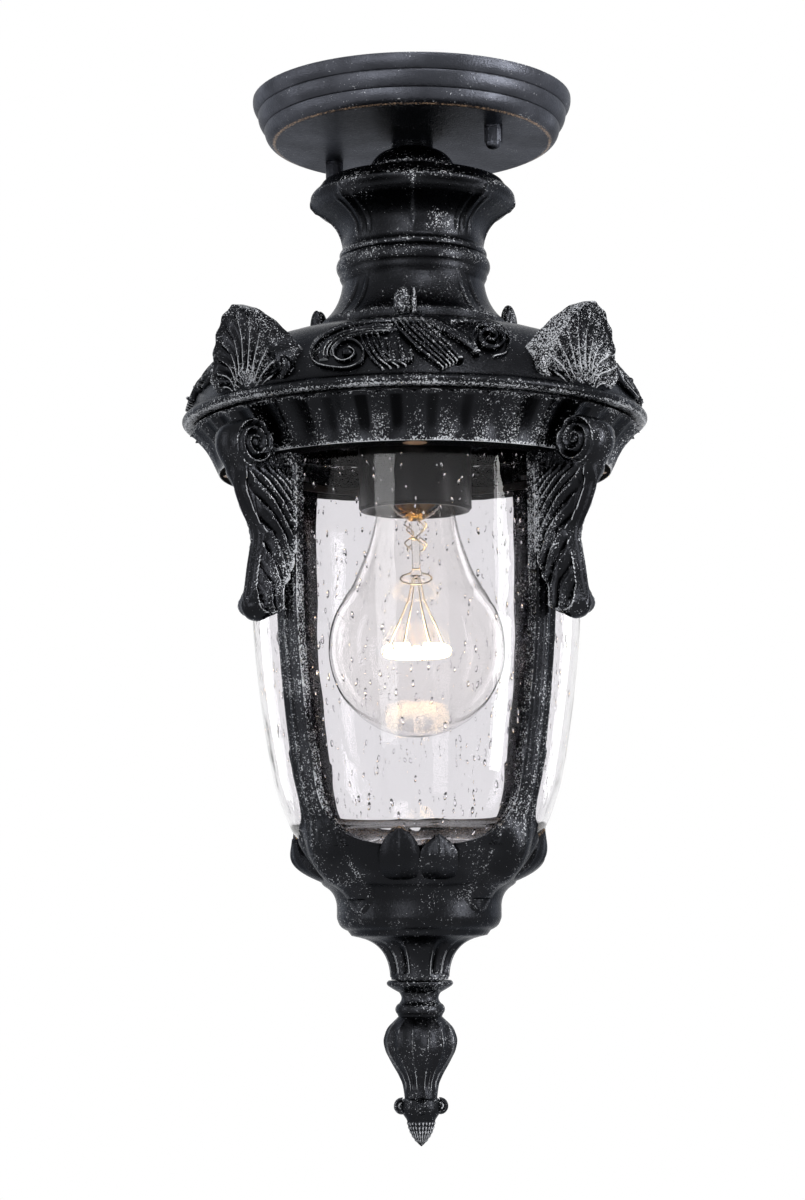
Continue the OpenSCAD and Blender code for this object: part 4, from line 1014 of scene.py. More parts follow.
def shell_geometry():
    """A fluted fan that leans outwards at +X, on the solid block of its casting."""
    count_a, count_s = 145, 52
    half_fan, root, half_w, tall = math.radians(66), 5.0, 20.2, 27.0
    ridges = sizes().shell_ridges
    u = np.linspace(-1, 1, count_a)
    v = np.linspace(0.10, 1, count_s)
    v, u = np.meshgrid(v, u, indexing="ij")
    a = u * half_fan
    wavy = (a + math.radians(4.5) * np.sin(v * 7.5) * (1 - v) * np.sign(u)
            * np.minimum(1, np.abs(u) * 3))
    power = 1.74
    reach = ((np.abs(np.sin(a)) / (half_w * 1.06)) ** power
             + (np.cos(a) / (tall + root)) ** power) ** (-1 / power)
    scallop = 0.4 * np.abs(np.sin(u * ridges * math.pi / 2)) ** 1.6
    reach = reach - scallop * v ** 6
    y = v * reach * np.sin(wavy)
    z = v * reach * np.cos(wavy) - root
    lane = np.abs(np.sin(u * ridges * math.pi / 2 + 1.1 * np.sin(4.4 * v) * u))
    ridge = (1.9 * (1 - lane ** 1.4) * smoothstep(v, 0.26, 0.36)
             * (1 - 0.7 * smoothstep(v, 0.8, 1.0)))
    loops = 1.4 * bell(v, 0.30, 0.09) * (1 - lane) ** 0.4
    lip = 0.9 * smoothstep(v, 0.93, 0.985)
    base = 1.6 * bell(v, 0.14, 0.16)
    cup = -2.0 * bell(v, 0.70, 0.42) * (1 - 0.5 * u * u)
    front = 1.2 + ridge + loops + base + cup + lip
    depth = 1.4 + 8.8 * np.clip(1 - z / tall, 0, 1)
    lift = np.stack([front, y * 0.84, z], -1)
    back = np.stack([-depth, y, z * 0.985], -1)
    verts = np.vstack([lift.reshape(-1, 3), back.reshape(-1, 3)])
    lean = math.radians(14)
    x, y, z = verts.T
    verts = np.stack([x * math.cos(lean) + z * math.sin(lean),
                      y, -x * math.sin(lean) + z * math.cos(lean)], 1)
    fan = verts + np.array([RIM_R - 5.4, 0, RIM_TOP + 1.4]), slab_faces(count_s, count_a)
    block = ball([RIM_R - 9.5, 0, RIM_TOP + 3.0], [6.2, 12.0, 6.0], 40, 20)
    curls = []
    for side in (-1, 1):
        path = smooth_path([[12 * side, 1.4], [15.8 * side, 2.6], [17.4 * side, 5.6],
                            [16 * side, 8.6]], 22)

        def place(across, along, lift_by):
            tilt = (along - 1) * math.tan(lean)
            return np.stack([RIM_R - 6.0 + tilt + lift_by, across, RIM_TOP + along], -1)
        curls.append(ribbon(path, [3.0, 3.2, 2.8, 1.4], [1.2, 2.2, 2.2, 1.2], place, 12, 2.4))
    verts, faces = joined(fan, block, *curls)
    # Every point is lifted at least this far above the inside of the roof's wall.
    line = np.array(sorted(roof_inside()))
    cover = 1.2
    floor = np.interp(np.hypot(verts[:, 0], verts[:, 1]), line[:, 0], line[:, 1]) + cover
    verts[:, 2] = np.maximum(verts[:, 2], floor)
    return verts, faces


def make_shells():
    """A shell on each corner of the roof."""
    geometry = shell_geometry()

    def brush_for(angle):
        # Painted highlight: the two shells on the right, where the key light falls, get much more
        # silver than those on the left.
        painted_highlight = 0.38 if angle in (315, 45) else 0.04

        def brush_and_shade(x, y, z):
            middle = bell(from_axis(x, y, angle)[1], 0, 15)
            return painted_highlight + 0.24 * bell(z, RIM_TOP + 5, 7) + 0.18 * middle
        return brush_and_shade

    for angle, corner in zip(CORNERS, CORNER_NAMES):
        add_piece("shell_ornament_" + corner, turned(geometry, angle), "relief", "housing",
                  ["shell_" + corner], brush_for(angle), wear=0.34,
                  edge=0.9, sharp=60)


# ---------------------------------------------------------------- relief scrolls


def dome_place(angle):
    """place(x, s, h) on the dome's slope: x across, s up from the foot, h above the surface."""
    line = np.array(dome_line(40))[::-1]
    run = np.concatenate([[0], np.cumsum(np.linalg.norm(np.diff(line, axis=0), axis=1))])
    step = np.gradient(line, axis=0)
    normal = np.stack([step[:, 1], -step[:, 0]], 1)
    normal /= np.linalg.norm(normal, axis=1)[:, None]
    middle = math.radians(angle)

    def place(x, s, h):
        s = np.interp(s, [0, 10.5, 15.3, 18.2, 22.5, 26.2, 27.9, 60],
                      [0.4, 7.6, 11.4, 14.0, 17.8, 23.0, 25.7, 57.8])
        r, z = np.interp(s, run, line[:, 0]), np.interp(s, run, line[:, 1])
        nr, nz = np.interp(s, run, normal[:, 0]), np.interp(s, run, normal[:, 1])
        turn = middle + x / r
        far = r + nr * h
        return np.stack([far * np.cos(turn), far * np.sin(turn), z + nz * h], -1)
    return place


def spiral(centre, start, end, first, last, squash=1.0, count=60):
    """Points of a spiral from angle start to end (degrees), its radius from first to last."""
    a = np.radians(np.linspace(start, end, count))
    r = np.linspace(first, last, count)
    return np.stack([centre[0] + r * np.cos(a), centre[1] + squash * r * np.sin(a)], 1)


def relief_geometry(angle):
    """The scroll, strands and leaf on one side of the roof."""
    place = dome_place(angle)
    tall = sizes().relief_height / MM
    parts = []

    def band(points, widths, heights, count=40, around=12):
        path = smooth_path(points, count)
        parts.append(ribbon(path, widths, [h * tall for h in heights], place, around))

    # The broad body of the C-scroll, from the top centre round to its left end
    body = [[-5.5, 24.4], [-13, 24], [-20.5, 22.2], [-26.6, 18.4], [-29.8, 13], [-29.6, 8.2]]
    band(body, [3.2, 5.2, 6.6, 6.4, 5.0, 3.2], [0.30, 0.42, 0.45, 0.45, 0.42, 0.35], 60)
    outer = [[-4, 27.5], [-12, 27.6], [-19.6, 26.6], [-26.4, 24], [-31.2, 19.8], [-33.4, 14.2],
             [-33.2, 9.4], [-31, 5.4], [-26.8, 3.2], [-21.4, 2.0], [-17.4, 4.2], [-15.8, 8.8],
             [-16.6, 13.4], [-19.6, 17.4], [-23.2, 17.6], [-25.6, 13.8], [-25.4, 9.0],
             [-22.8, 6.2], [-20.0, 7.4], [-18.9, 10.8], [-20.6, 13.4]]
    band(outer, [1.0, 1.3, 1.4, 1.4, 1.4, 1.4, 1.3, 1.2, 1.1],
         [0.5, 0.66, 0.7, 0.7, 0.66, 0.62, 0.6, 0.6, 0.6], 170)
    for inset in (1.9, 3.4, 4.9):
        line = [[-6 - inset * 0.4, 26.4 - inset], [-13, 25.9 - inset],
                [-20 + 0.3 * inset, 24.4 - inset],
                [-26 + 0.7 * inset, 21.2 - inset * 0.7], [-29.8 + 0.8 * inset, 15.6 - inset * 0.3],
                [-30.8 + 0.8 * inset, 10 + 0.2 * inset]]
        band(line, [0.7, 1.1, 1.1, 1.0, 0.6], [0.5, 0.66, 0.70, 0.66, 0.45], 50, 8)
    parts.append(raised_ball(place, -21.2, 10.4, 2.0, 1.0 * tall))
    # Strands leave the scroll and end at the foot in small curled lobes
    for i in range(4):
        x = -17.2 + 1.9 * i
        band([[x, 21.4 - 0.4 * i], [x + 1.6, 13.6], [x + 4.2, 6.4],
              [x + 7.4 + 0.5 * i, 0.8 + 0.5 * i]],
             [0.9, 1.6, 1.6, 1.0], [0.45, 0.72, 0.8, 0.5], 36, 10)
    for x, s, size in ((-7.6, 5.0, 1.0), (-4.9, 4.6, 1.15), (-1.9, 5.4, 0.9)):
        band([[x - 3.2 * size, 17], [x - 2.2 * size, 10.5], [x - 1.7 * size, s + 1.4],
              [x - 0.6 * size, s - 0.8],
              [x + 0.8 * size, s - 0.4], [x + 1.3 * size, s + 1.8], [x + 1.0 * size, s + 5]],
             [1.2, 1.9, 2.1, 1.9, 1.6, 1.2], [0.5, 0.66, 0.82, 0.92, 0.85, 0.6], 54, 10)
    # Long ridges of the acanthus leaf run from the top centre to the lower right
    leaf_body = [[-3.4, 24], [1.4, 18], [6.6, 11], [11.4, 3.6]]
    band(leaf_body, [4, 8.0, 7.2, 3], [0.3, 0.42, 0.42, 0.3], 40)
    for i in range(6):
        w = i / 5
        start = [-6.6 + 9.0 * w, 27.4 + 0.4 * w]
        first = [-3.2 + 8.2 * w, 19.2 + 2.8 * w]
        second = [2.6 + 7.2 * w, 9.2 + 5.0 * w]
        end = [9.0 + 5.6 * w, 0.6 + 4.4 * w]
        band([start, first, second, end], [0.9, 1.5, 1.6, 1.0], [0.6, 0.9, 1.0, 0.7], 44, 10)
    parts.append(raised_ball(place, 14.4, 5.0, 1.3, 1.15 * tall))
    # The stem ends in a hooked bead beside the right-hand volute
    for shift in (0, 1.9):
        band([[4.4 + shift * 0.4, 26 + shift * 0.6], [10, 21.2 + shift], [15.4, 15.4 + shift],
              [19.2 + 0.2 * shift, 10.4 + shift * 0.5]],
             [1.4, 2.0, 2.1, 1.8], [0.55, 0.78, 0.84, 0.8], 40, 10)
    parts.append(raised_ball(place, 19.8, 9.2, 1.5, 1.05 * tall))
    volute = spiral([24.4, 18.2], 215, -500, 6.2, 1.0, 1.4, 130)
    parts.append(ribbon(volute, [1.2, 1.9, 2.0, 1.7, 1.4],
                        [0.7 * tall, 0.95 * tall, 0.9 * tall], place, 10))
    band([[12, 27], [18, 27.6], [24, 27.6], [29.4, 24.2], [31.2, 18], [29.6, 11], [25.6, 8.6]],
         [1.0, 1.5, 1.6, 1.6, 1.2], [0.45, 0.6, 0.66, 0.66, 0.4], 60, 10)
    parts += bud_geometry(angle)
    return joined(*parts)


def raised_ball(place, x, s, radius, tall):
    """A low round boss on the dome."""
    verts, faces = ball([0, 0, 0], [1, 1, 1], 20, 12)
    lifted = np.where(verts[:, 2] > 0, verts[:, 2] * tall, verts[:, 2])
    return place(x + verts[:, 0] * radius, s + verts[:, 1] * radius, lifted), faces


def bud_geometry(angle):
    """A bud with base leaves where the neck meets the roof."""
    a = math.radians(angle)
    out = np.array([math.cos(a), math.sin(a), 0])
    across = np.array([-math.sin(a), math.cos(a), 0])

    def put(geometry):
        verts, faces = geometry
        up = np.array([0, 0, 1])
        return verts[:, :1] * across + verts[:, 1:2] * out + verts[:, 2:] * up, faces
    bud = ball([-3.4, 32.4, ROOF_Z + 1.6], [3.3, 2.6, 5.4], 30, 22)
    stalk = ball([0.2, 33.4, ROOF_Z + 0.4], [0.9, 2.2, 6.2], 16, 14)
    leaves = [ball([x, 37.2, ROOF_Z - 4.4 - 0.2 * abs(x)], [2.4, 3.0, 2.4], 20, 12)
              for x in (-6.2, -2.4, 1.6)]
    foot = ball([-1.6, 40.0, ROOF_Z - 6.0], [6.0, 4.0, 2.4], 24, 12)
    return [put(g) for g in (bud, stalk, *leaves, foot)]


def make_reliefs():
    """A relief on each side of the roof."""
    for angle, side in zip(SIDES, SIDE_NAMES):
        add_piece("relief_scroll_" + side, relief_geometry(angle), "relief", "housing",
                  ["relief_" + side],
                  lambda x, y, z: 0.32 * smoothstep(z, ROOF_Z - 5, ROOF_Z) - 0.14, wear=0.34,
                  edge=0.8, sharp=70)


# ---------------------------------------------------------------- skirt


def make_skirt():
    """The fluted ring under the rim."""
    h = SKIRT_Z - RING_Z
    low_r = SKIRT_R - 10.1
    turn_r = low_r + 3.3
    outside = smooth_path([[SKIRT_R, 0], [SKIRT_R - 2.7, -0.19 * h], [SKIRT_R - 5.5, -0.41 * h],
                           [turn_r - 0.6, -0.62 * h], [turn_r - 2.0, -0.82 * h],
                           [low_r, -h]], 30).tolist()
    inside = [[low_r - 0.3, -h], [low_r - 0.3, -h + 4.5], [turn_r - 2.2, -h * 0.5],
              [SKIRT_R - 2.2, 0]]
    outline = [[r, z + SKIRT_Z] for r, z in outside + inside]
    flutes = sizes().skirt_flutes

    def shape(r, z, a):
        scoop = np.abs(np.sin(a * flutes / 2)) ** 0.8
        top = z > SKIRT_Z - 0.01
        return r, z - np.where(top, 1.1 * (1 - scoop), 0)

    def flute(x, y, z):
        r = np.hypot(x, y)
        line_r = radius_at(outline[:len(outside)], z)
        fade = 1 - np.clip((SKIRT_Z - z) / h, 0, 1) ** 4
        return (r > line_r - 0.8) * fade

    def brush_and_shade(x, y, z):
        a = np.arctan2(y, x)
        scoop = np.abs(np.sin(a * flutes / 2))
        rib = 1 - smoothstep(scoop, 0.62, 1.0)
        # Painted shade: the flute valleys are darkened, unevenly round the skirt and fading out
        # towards its foot.
        painted_valley_shade = ((0.34 + 0.12 * np.sin(7 * a + 1) + 0.06 * np.sin(13 * a))
                * smoothstep(z, RING_Z, RING_Z + 6))
        lower = smoothstep(SKIRT_Z - z, 3, 13)
        line = bell(z, RING_Z + 0.4, 1.2)
        top = smoothstep(z, SKIRT_Z - 1.5, SKIRT_Z - 0.9)
        return (0.08 + 0.22 * lower) * rib + 0.40 * line + 0.45 * top - painted_valley_shade * (1 - rib)

    return tree_piece("fluted_skirt", lathe(outline, flutes * 14, shape), TREES["flutes"],
                      {"Count": flutes, "Depth": sizes().flute_depth, "Sharpness": 1.15},
                      "cast", "cage", ["skirt"], brush_and_shade, None, flute, wear=0.35)


# ---------------------------------------------------------------- cage frame


def jar_line():
    """Outside of the jar's wall, from its rim down to its flat bottom."""
    turn = GLASS_TOP - 59
    return ([[GLASS_R, GLASS_TOP]] + bow([GLASS_R, turn], [GLASS_R - 6.4, turn - 52], 0.9, 20)
            + bow([GLASS_R - 7.1, turn - 56], [GLASS_R - 13, LIP_Z], 0.4, 10)
            + bow([GLASS_R - 14.2, GLASS_LOW + 10.9], [28, GLASS_LOW + 2.6], 1.8, 16))


def jar_wall(z):
    """Radius of the jar's outside at heights z, the same below its foot as at it."""
    return radius_at(jar_line(), np.maximum(z, GLASS_LOW + 3))


def bowl_line():
    """Outside of the basket between its leaves, from its lip down the cone."""
    return (bow([GLASS_R - 9.4, LIP_Z - 0.4], [CUP_R + 8, GLASS_LOW - 3], 1.6, 14)
            + bow([CUP_R + 5.2, GLASS_LOW - 5.4], [CUP_R, CUP_Z + CUP_H * 0.62], -1.4, 12)
            + [[CUP_R, CUP_Z + CUP_H * 0.3]]
            + bow([CUP_R - 0.4, CUP_Z + CUP_H * 0.22], [CUP_R - 3.5, CUP_Z], 0.6, 8)
            + bow([CUP_R - 5, CUP_Z - 2], [9.9, CONE_Z], -4, 20))


# Half width of the leaf under each rib at heights up the basket, from its tip, and the coarser
# line that the brush follows along its edge
TIP_Z = GLASS_LOW - 15.6
LEAF_TIPS = ((TIP_Z, 0.3), (GLASS_LOW - 14.4, 2.4), (GLASS_LOW - 12, 4.6), (GLASS_LOW - 8, 6.8),
             (GLASS_LOW - 3, 8.4), (GLASS_LOW + 4, 9.2), (LIP_Z, 9.4))
LEAF_BRUSH = ((TIP_Z, 0.3), (GLASS_LOW - 12, 4.6), (GLASS_LOW - 3, 8.4), (LIP_Z, 9.4))


def cage_radii(z, theta):
    """Outer radius of the cage at height z and angle theta (degrees) from the middle of a side."""
    jar = radius_at(jar_line(), z)
    rib_low = CUP_Z + CUP_H - 3
    rib_line = (bow([GLASS_R - 8, GLASS_LOW + 8.4], [GLASS_R - 13.4, GLASS_LOW - 2.6], 1.2, 10)
                + bow([GLASS_R - 17.4, GLASS_LOW - 5.6], [CUP_R + 2.4, rib_low], -0.6, 10))
    bowl = np.where(z >= LIP_Z, jar + GLASS_GAP + RIB_T - 0.6, radius_at(bowl_line(), z))
    rib = np.where(z >= LIP_Z, jar + GLASS_GAP + RIB_T, radius_at(rib_line, z))
    middle = radius_at([[40.6, GLASS_LOW + 7.4], [36.8, GLASS_LOW + 2], [33.8, GLASS_LOW - 3],
                        [31.6, GLASS_LOW - 6.4]], z)
    share = ((1 - smoothstep(np.abs(theta), 13, 31))
             * smoothstep(z, GLASS_LOW - 8, GLASS_LOW - 5) * (z < LIP_Z))
    bowl = bowl + share * (np.minimum(middle, bowl) - bowl)
    rib = np.where(z < rib_low, bowl, rib)
    from_rib = np.radians(45 - np.abs(theta)) * bowl
    upper = smoothstep(z, LIP_Z - 1, LIP_Z + 3)
    on_rib = 1 - smoothstep(from_rib, RIB_W / 2 - 1.2, RIB_W / 2 - 0.1)
    # Below the windows each rib spreads into a leaf whose tip hangs over the cup.
    reach = np.interp(z, *zip(*LEAF_TIPS))
    flank = 1 - smoothstep(from_rib, 1.2, reach - 0.3)
    on_leaf = (1 - smoothstep(from_rib, reach - 0.5, reach)) * smoothstep(z, TIP_Z, TIP_Z + 0.8)
    rim_line = 0.35 * bell(from_rib, reach - 0.9, 0.8)
    leaf = on_leaf * (1.0 + rim_line + (rib - bowl) * flank)
    ridge = 0.45 * bell(from_rib, 0, 1.5) * smoothstep(z, TIP_Z + 1, TIP_Z + 6)
    radius = (bowl + upper * on_rib * (rib - bowl) + (1 - upper) * leaf
              + ridge * (on_leaf + upper > 0))
    # Concave flutes with fillets run down the cone.
    on_cone = smoothstep(CUP_Z - 2.2 - z, 0, 2.5) * smoothstep(z, CONE_Z + 0.2, CONE_Z + 2.4)
    side = np.abs(theta)
    return radius - on_cone * (1.2 * bell(side, 32, 11) - 0.3 * bell(side, 20, 2)
                               - 0.3 * bell(side, 44, 2))


def window_angle(z):
    """Half angle of a window at height z, in degrees; 0 below it."""
    outer = jar_wall(z) + GLASS_GAP + RIB_T
    rib = np.degrees(np.arcsin(RIB_W / 2 / outer))
    depth = np.clip(np.maximum(WINDOW_Z - z, 0) / WINDOW_R, 0, 1)
    half = WINDOW_R * (1 - depth ** 3.1) ** (1 / 3.1)
    arc = np.degrees(np.arcsin(np.clip(half / outer, 0, 1)))
    arc = np.where(z < WINDOW_Z - 4, arc, 45)
    return np.where(z < WINDOW_Z - WINDOW_R, 0, np.minimum(45 - rib, arc))


def cage_rows():
    """Heights of the cage's rows: even, but close together round the foot of a window."""
    foot = WINDOW_Z - WINDOW_R
    arch = [WINDOW_Z - WINDOW_R * math.cos(a) for a in np.linspace(0, math.pi / 2, 40)]
    above = list(np.arange(WINDOW_Z + 1.6, RING_Z - 0.1, 1.6)) + [RING_Z - 0.1]
    below = list(np.arange(CONE_Z, foot - 0.25, 0.55))
    return np.array(sorted(below + arch + above))[::-1]


def cage_geometry():
    """The ribs, basket, cup and cone, as two strips on each side."""
    rows = cage_rows()
    columns = 38
    opening = window_angle(rows)
    t = np.linspace(0, 1, columns + 1)
    verts, faces = [], []
    inner_rows = int((rows > GLASS_LOW + 2.6).sum())
    inner_line = radius_at(jar_line(), rows) + GLASS_GAP
    for side in SIDES:
        for sign in (-1, 1):
            theta = sign * (opening[:, None] + t * (45 - opening[:, None]))
            z = np.repeat(rows[:, None], columns + 1, 1)
            radius = cage_radii(z, theta)
            turn = np.radians(side + theta)
            outer = np.stack([radius * np.cos(turn), radius * np.sin(turn), z], -1)
            inner_r = inner_line[:inner_rows, None]
            inner = np.stack([inner_r * np.cos(turn[:inner_rows]),
                              inner_r * np.sin(turn[:inner_rows]), z[:inner_rows]], -1)
            start = sum(len(v) for v in verts)
            width = columns + 1
            second = start + len(rows) * width
            verts += [outer.reshape(-1, 3), inner.reshape(-1, 3)]
            faces += [[i + start for i in f] for f in grid_faces(len(rows), width)]
            faces += [[i + second for i in f] for f in grid_faces(inner_rows, width)]
            # Walls of the window, and the foot of each rib against the ring plate
            for i in range(inner_rows - 1):
                if opening[i] > 0:
                    faces.append([start + i * width, start + (i + 1) * width,
                                  second + (i + 1) * width, second + i * width])
            for j in range(columns):
                faces.append([start + j, start + j + 1, second + j + 1, second + j])
            # The floor inside and the cone's lower face
            floor = start + (len(rows) + inner_rows) * width
            floor_line = [[28, GLASS_LOW + 0.2], [28, GLASS_LOW - 2.4], [0, GLASS_LOW - 2.4]]
            rings = np.array([[[r * math.cos(a), r * math.sin(a), h] for a in turn[inner_rows - 1]]
                              for r, h in floor_line])
            verts.append(rings.reshape(-1, 3))
            last = second + (inner_rows - 1) * width
            for j in range(columns):
                faces.append([last + j, last + j + 1, floor + j + 1, floor + j])
            faces += [[i + floor for i in f] for f in grid_faces(3, width)]
            tip = floor + 3 * width
            verts.append(np.array([[0, 0, CONE_Z]]))
            bottom = start + (len(rows) - 1) * width
            faces += [[bottom + j, bottom + j + 1, tip] for j in range(columns)]
    return np.vstack(verts), faces


def leaf_geometry():
    """The pair of curled leaves at the foot of one window, at angle 0."""
    count_x, count_s = 25, 22
    leaves = []
    for middle, tall, half in ((-6.2, 12.6, 6.7), (6.6, 9.8, 6.3)):
        u = np.linspace(-1, 1, count_x)
        s = np.linspace(0, 1, count_s)
        s, u = np.meshgrid(s, u, indexing="ij")
        width = half * np.where(s < 0.4, 0.78 + 0.22 * np.sin(s / 0.4 * math.pi / 2),
                                1 - 0.96 * np.clip((s - 0.4) / 0.6, 0, 1) ** 2.5)
        x = middle + u * width
        height = GLASS_LOW - 4.6 + s * (tall + 4.6)
        keel = 0.9 * (1 - np.abs(u)) ** 1.5 * bell(s, 0.45, 0.6)
        vein = 0.22 * np.abs(np.cos(u * 5.5)) * bell(s, 0.5, 0.5)
        outer = 33.0 + 9.8 * (1 - (1 - s) ** 3.6) + keel + vein - 1.2 * u * u
        sheets = [np.stack([r * np.cos(x / r), r * np.sin(x / r), height], -1).reshape(-1, 3)
                  for r in (outer, outer - 2.6 + 0.9 * s)]
        leaves.append((np.vstack(sheets), slab_faces(count_s, count_x)))
    return joined(*leaves)


def make_cage():
    """The cage's casting, with a pair of leaves at the foot of each window."""
    helper = placed("leaf_ring", new_mesh("leaf_ring", turned(leaf_geometry(), -90)))
    run_tree(helper, TREES["ring"], {"Count": len(SIDES), "Material": MATERIALS["cast"]})
    ring_verts = np.array([v.co for v in helper.data.vertices]) / MM
    ring_faces = [list(p.vertices) for p in helper.data.polygons]
    bpy.data.objects.remove(helper)
    pad_out = 63
    pad = box_block(GLASS_R + 0.6, pad_out, -RIB_W / 2, RIB_W / 2, RING_Z - 4.1, RING_Z - 0.1)
    pads = [turned(pad, angle) for angle in CORNERS]

    def brush_and_shade(x, y, z):
        r = np.hypot(x, y)
        theta = side_angle(x, y)
        ribs = (theta > 34) * (z > GLASS_LOW + 6)
        # Painted sheen: extra silver on the front of the basket, a little right of middle, where
        # the light falls.
        front = bell(np.degrees(np.arctan2(y, x)), -83, 16) * bell(z, GLASS_LOW - 12, 7)
        centre = bell(theta, 45, 3.0)
        reach = np.interp(z, *zip(*LEAF_BRUSH))
        tongue = bell(np.radians(45 - theta) * r, reach, 1.1) * (z < LIP_Z) * (z > GLASS_LOW - 16.4)
        return (0.36 * tongue + 0.06 * ribs + 0.34 * front + 0.22 * bell(z, CUP_Z + 2.6, 1.2)
                + 0.22 * centre - 0.12 * (1 - ribs))

    def bronze(x, y, z):
        inside = np.hypot(x, y) < jar_wall(z) + GLASS_GAP + 0.3
        return 0.46 * inside * (z > GLASS_LOW) * (z < GLASS_LOW + 16)

    def edge(x, y, z):
        outside = np.hypot(x, y) > jar_wall(z) + GLASS_GAP + RIB_T - 1.6
        return np.where(z > GLASS_LOW + 3, 0.36 * outside, 0.8)

    washer = high("finial_washer").x + 0.2
    spigot = lathe([[washer, CONE_Z + 0.4], [9.7, CONE_Z + 0.4], [9.5, CONE_Z - 0.9],
                    [washer, CONE_Z - 0.9]], 96)
    casting = joined(cage_geometry(), (ring_verts, ring_faces), spigot, *pads)
    return add_piece("cage_casting", casting, "cast", "cage", ["cage_frame"], brush_and_shade,
                     bronze, wear=0.45, edge=edge, sharp=42)


def box_block(x0, x1, y0, y1, z0, z1):
    """A closed block."""
    verts = np.array([[x, y, z] for x in (x0, x1) for y in (y0, y1) for z in (z0, z1)], float)
    return verts, [[0, 1, 3, 2], [4, 6, 7, 5], [0, 4, 5, 1],
                   [2, 3, 7, 6], [0, 2, 6, 4], [1, 5, 7, 3]]


# ---------------------------------------------------------------- scroll brackets


def bracket_outline():
    """Side view of a bracket, from its top inside corner round to its front."""
    v, foot = EYE_Z, BRACKET_LOW
    back, waist = 60.45, 72.8
    arc = [[EYE_X + 8 * math.cos(a), EYE_Z + 8 * math.sin(a)]
           for a in np.radians(np.linspace(-55, 118, 36))]
    return ([[SKIRT_R - 9.1, RING_Z - 0.1], [64.4, v - 8], [back, v - 10.5], [back, v - 34]]
            + bow([back + 0.6, v - 36], [back + 5.6, v - 47], -0.8, 6)
            + [[back + 5.4, foot + 3]]
            + bow([back + 7.2, foot + 0.6], [waist + 3.6, foot + 0.8], -0.5, 6)
            + [[waist + 5.2, foot + 4]]
            + bow([waist + 3.4, foot + 8.4], [waist, v - 30], -0.5, 10)
            + bow([waist, v - 28], [EYE_X + 4.4, v - 7.6], -1.4, 14)
            + arc)


def bracket_geometry():
    """A bracket at angle 0: two carved faces and a rounded edge between."""
    half = 4.8
    turn_r = SKIRT_R - 6.8

    def above_skirt(x, z):
        """Keeps the bracket outside the skirt."""
        wall = np.interp(z, [RING_Z, RING_Z + 7.5, SKIRT_Z],
                         [SKIRT_R - 10.0, turn_r + 0.1, SKIRT_R + 0.1])
        return np.where(z > RING_Z - 0.1, np.maximum(x, wall), x)
    line = [[float(above_skirt(x, z)), z] for x, z in spaced(bracket_outline(), 0.8)]
    slim = [line[0]]
    for p in line[1:]:
        if math.dist(p, slim[-1]) > 0.25:
            slim.append(p)
    line = np.array(slim)
    for _ in range(26):
        mean = (np.roll(line, 1, 0) + line + np.roll(line, -1, 0)) / 3
        line = np.where(((line[:, 0] > 66) & (line[:, 1] < RING_Z))[:, None], mean, line)
    line = line.tolist()

    front_line = [[EYE_Z - 52, 78], [EYE_Z - 46, 75.2], [EYE_Z - 38, 73.6], [EYE_Z - 29, 72.8],
                  [EYE_Z - 18, 75.4], [EYE_Z - 7.2, 81.4]]

    def height(x, z, edge):
        dx, dz = x - EYE_X, z - EYE_Z
        r = np.hypot(dx, dz)
        a = np.arctan2(dz, -dx)
        pitch = 2.7
        phase = (r / pitch - a / (2 * math.pi)) % 1.0
        coil = 1.5 * np.sin(math.pi * phase) ** 1.6
        eye = 1.7 * smoothstep(1.9 - r, 0, 0.8)
        volute = smoothstep(8.4 - r, 0, 1.0) * (0.3 + coil * smoothstep(r, 1.5, 2.1) + eye)
        inwards = np.interp(z, *zip(*front_line)) - x
        leaf = smoothstep(EYE_Z - 6.5 - z, 0, 6) * smoothstep(z, BRACKET_LOW + 0.5, BRACKET_LOW + 4)
        lane = (dz + 1.15 * inwards + 0.05 * inwards ** 2) / 7.6
        lobes = 2.1 * np.abs(np.sin(math.pi * lane)) ** 0.6 - 0.8
        fine = 0.32 * np.abs(np.sin(math.pi * lane * 3)) ** 0.8
        spread = smoothstep(inwards, 0.1, 1.2)
        ribs = leaf * (lobes + fine) * spread
        lip = 0.9 * bell(edge, 0.9, 0.9) * smoothstep(EYE_Z - 8 - z, 0, 4)
        roll = -0.9 * (1 - smoothstep(edge, 0, 0.9))
        slope = -2.6 * (1 - smoothstep(inwards, 0, 5.5)) * smoothstep(EYE_Z - 9 - z, 0, 5)
        return half + volute + ribs + lip + roll + slope

    flat, faces, tall = face_region(line, 0.5, height)
    count, edge_count, rings = len(flat), len(line), 10
    right = np.stack([flat[:, 0], tall, flat[:, 1]], 1)
    left = np.stack([flat[:, 0], -tall, flat[:, 1]], 1)
    order = np.arange(edge_count)
    base = 2 * count
    ring_ids = [order]
    outline = np.array(line)
    outward = outline_normals(outline)
    rims, rim_faces = [], []
    for k in range(1, rings):
        t = k / rings
        y = (1 - 2 * t) * tall[:edge_count]
        centre_out = 1.4 * math.sin(math.pi * t) ** 0.6
        points = outline + outward * centre_out * bracket_spine(outline)[:, None]
        rims.append(np.stack([points[:, 0], y, points[:, 1]], 1))
        ring_ids.append(base + order)
        base += edge_count
    ring_ids.append(order + count)
    for upper, lower in zip(ring_ids, ring_ids[1:]):
        for i in range(edge_count):
            j = (i + 1) % edge_count
            rim_faces.append([int(upper[i]), int(upper[j]), int(lower[j]), int(lower[i])])
    verts = np.vstack([right, left, *rims])
    return verts, faces + [[i + count for i in f[::-1]] for f in faces] + rim_faces


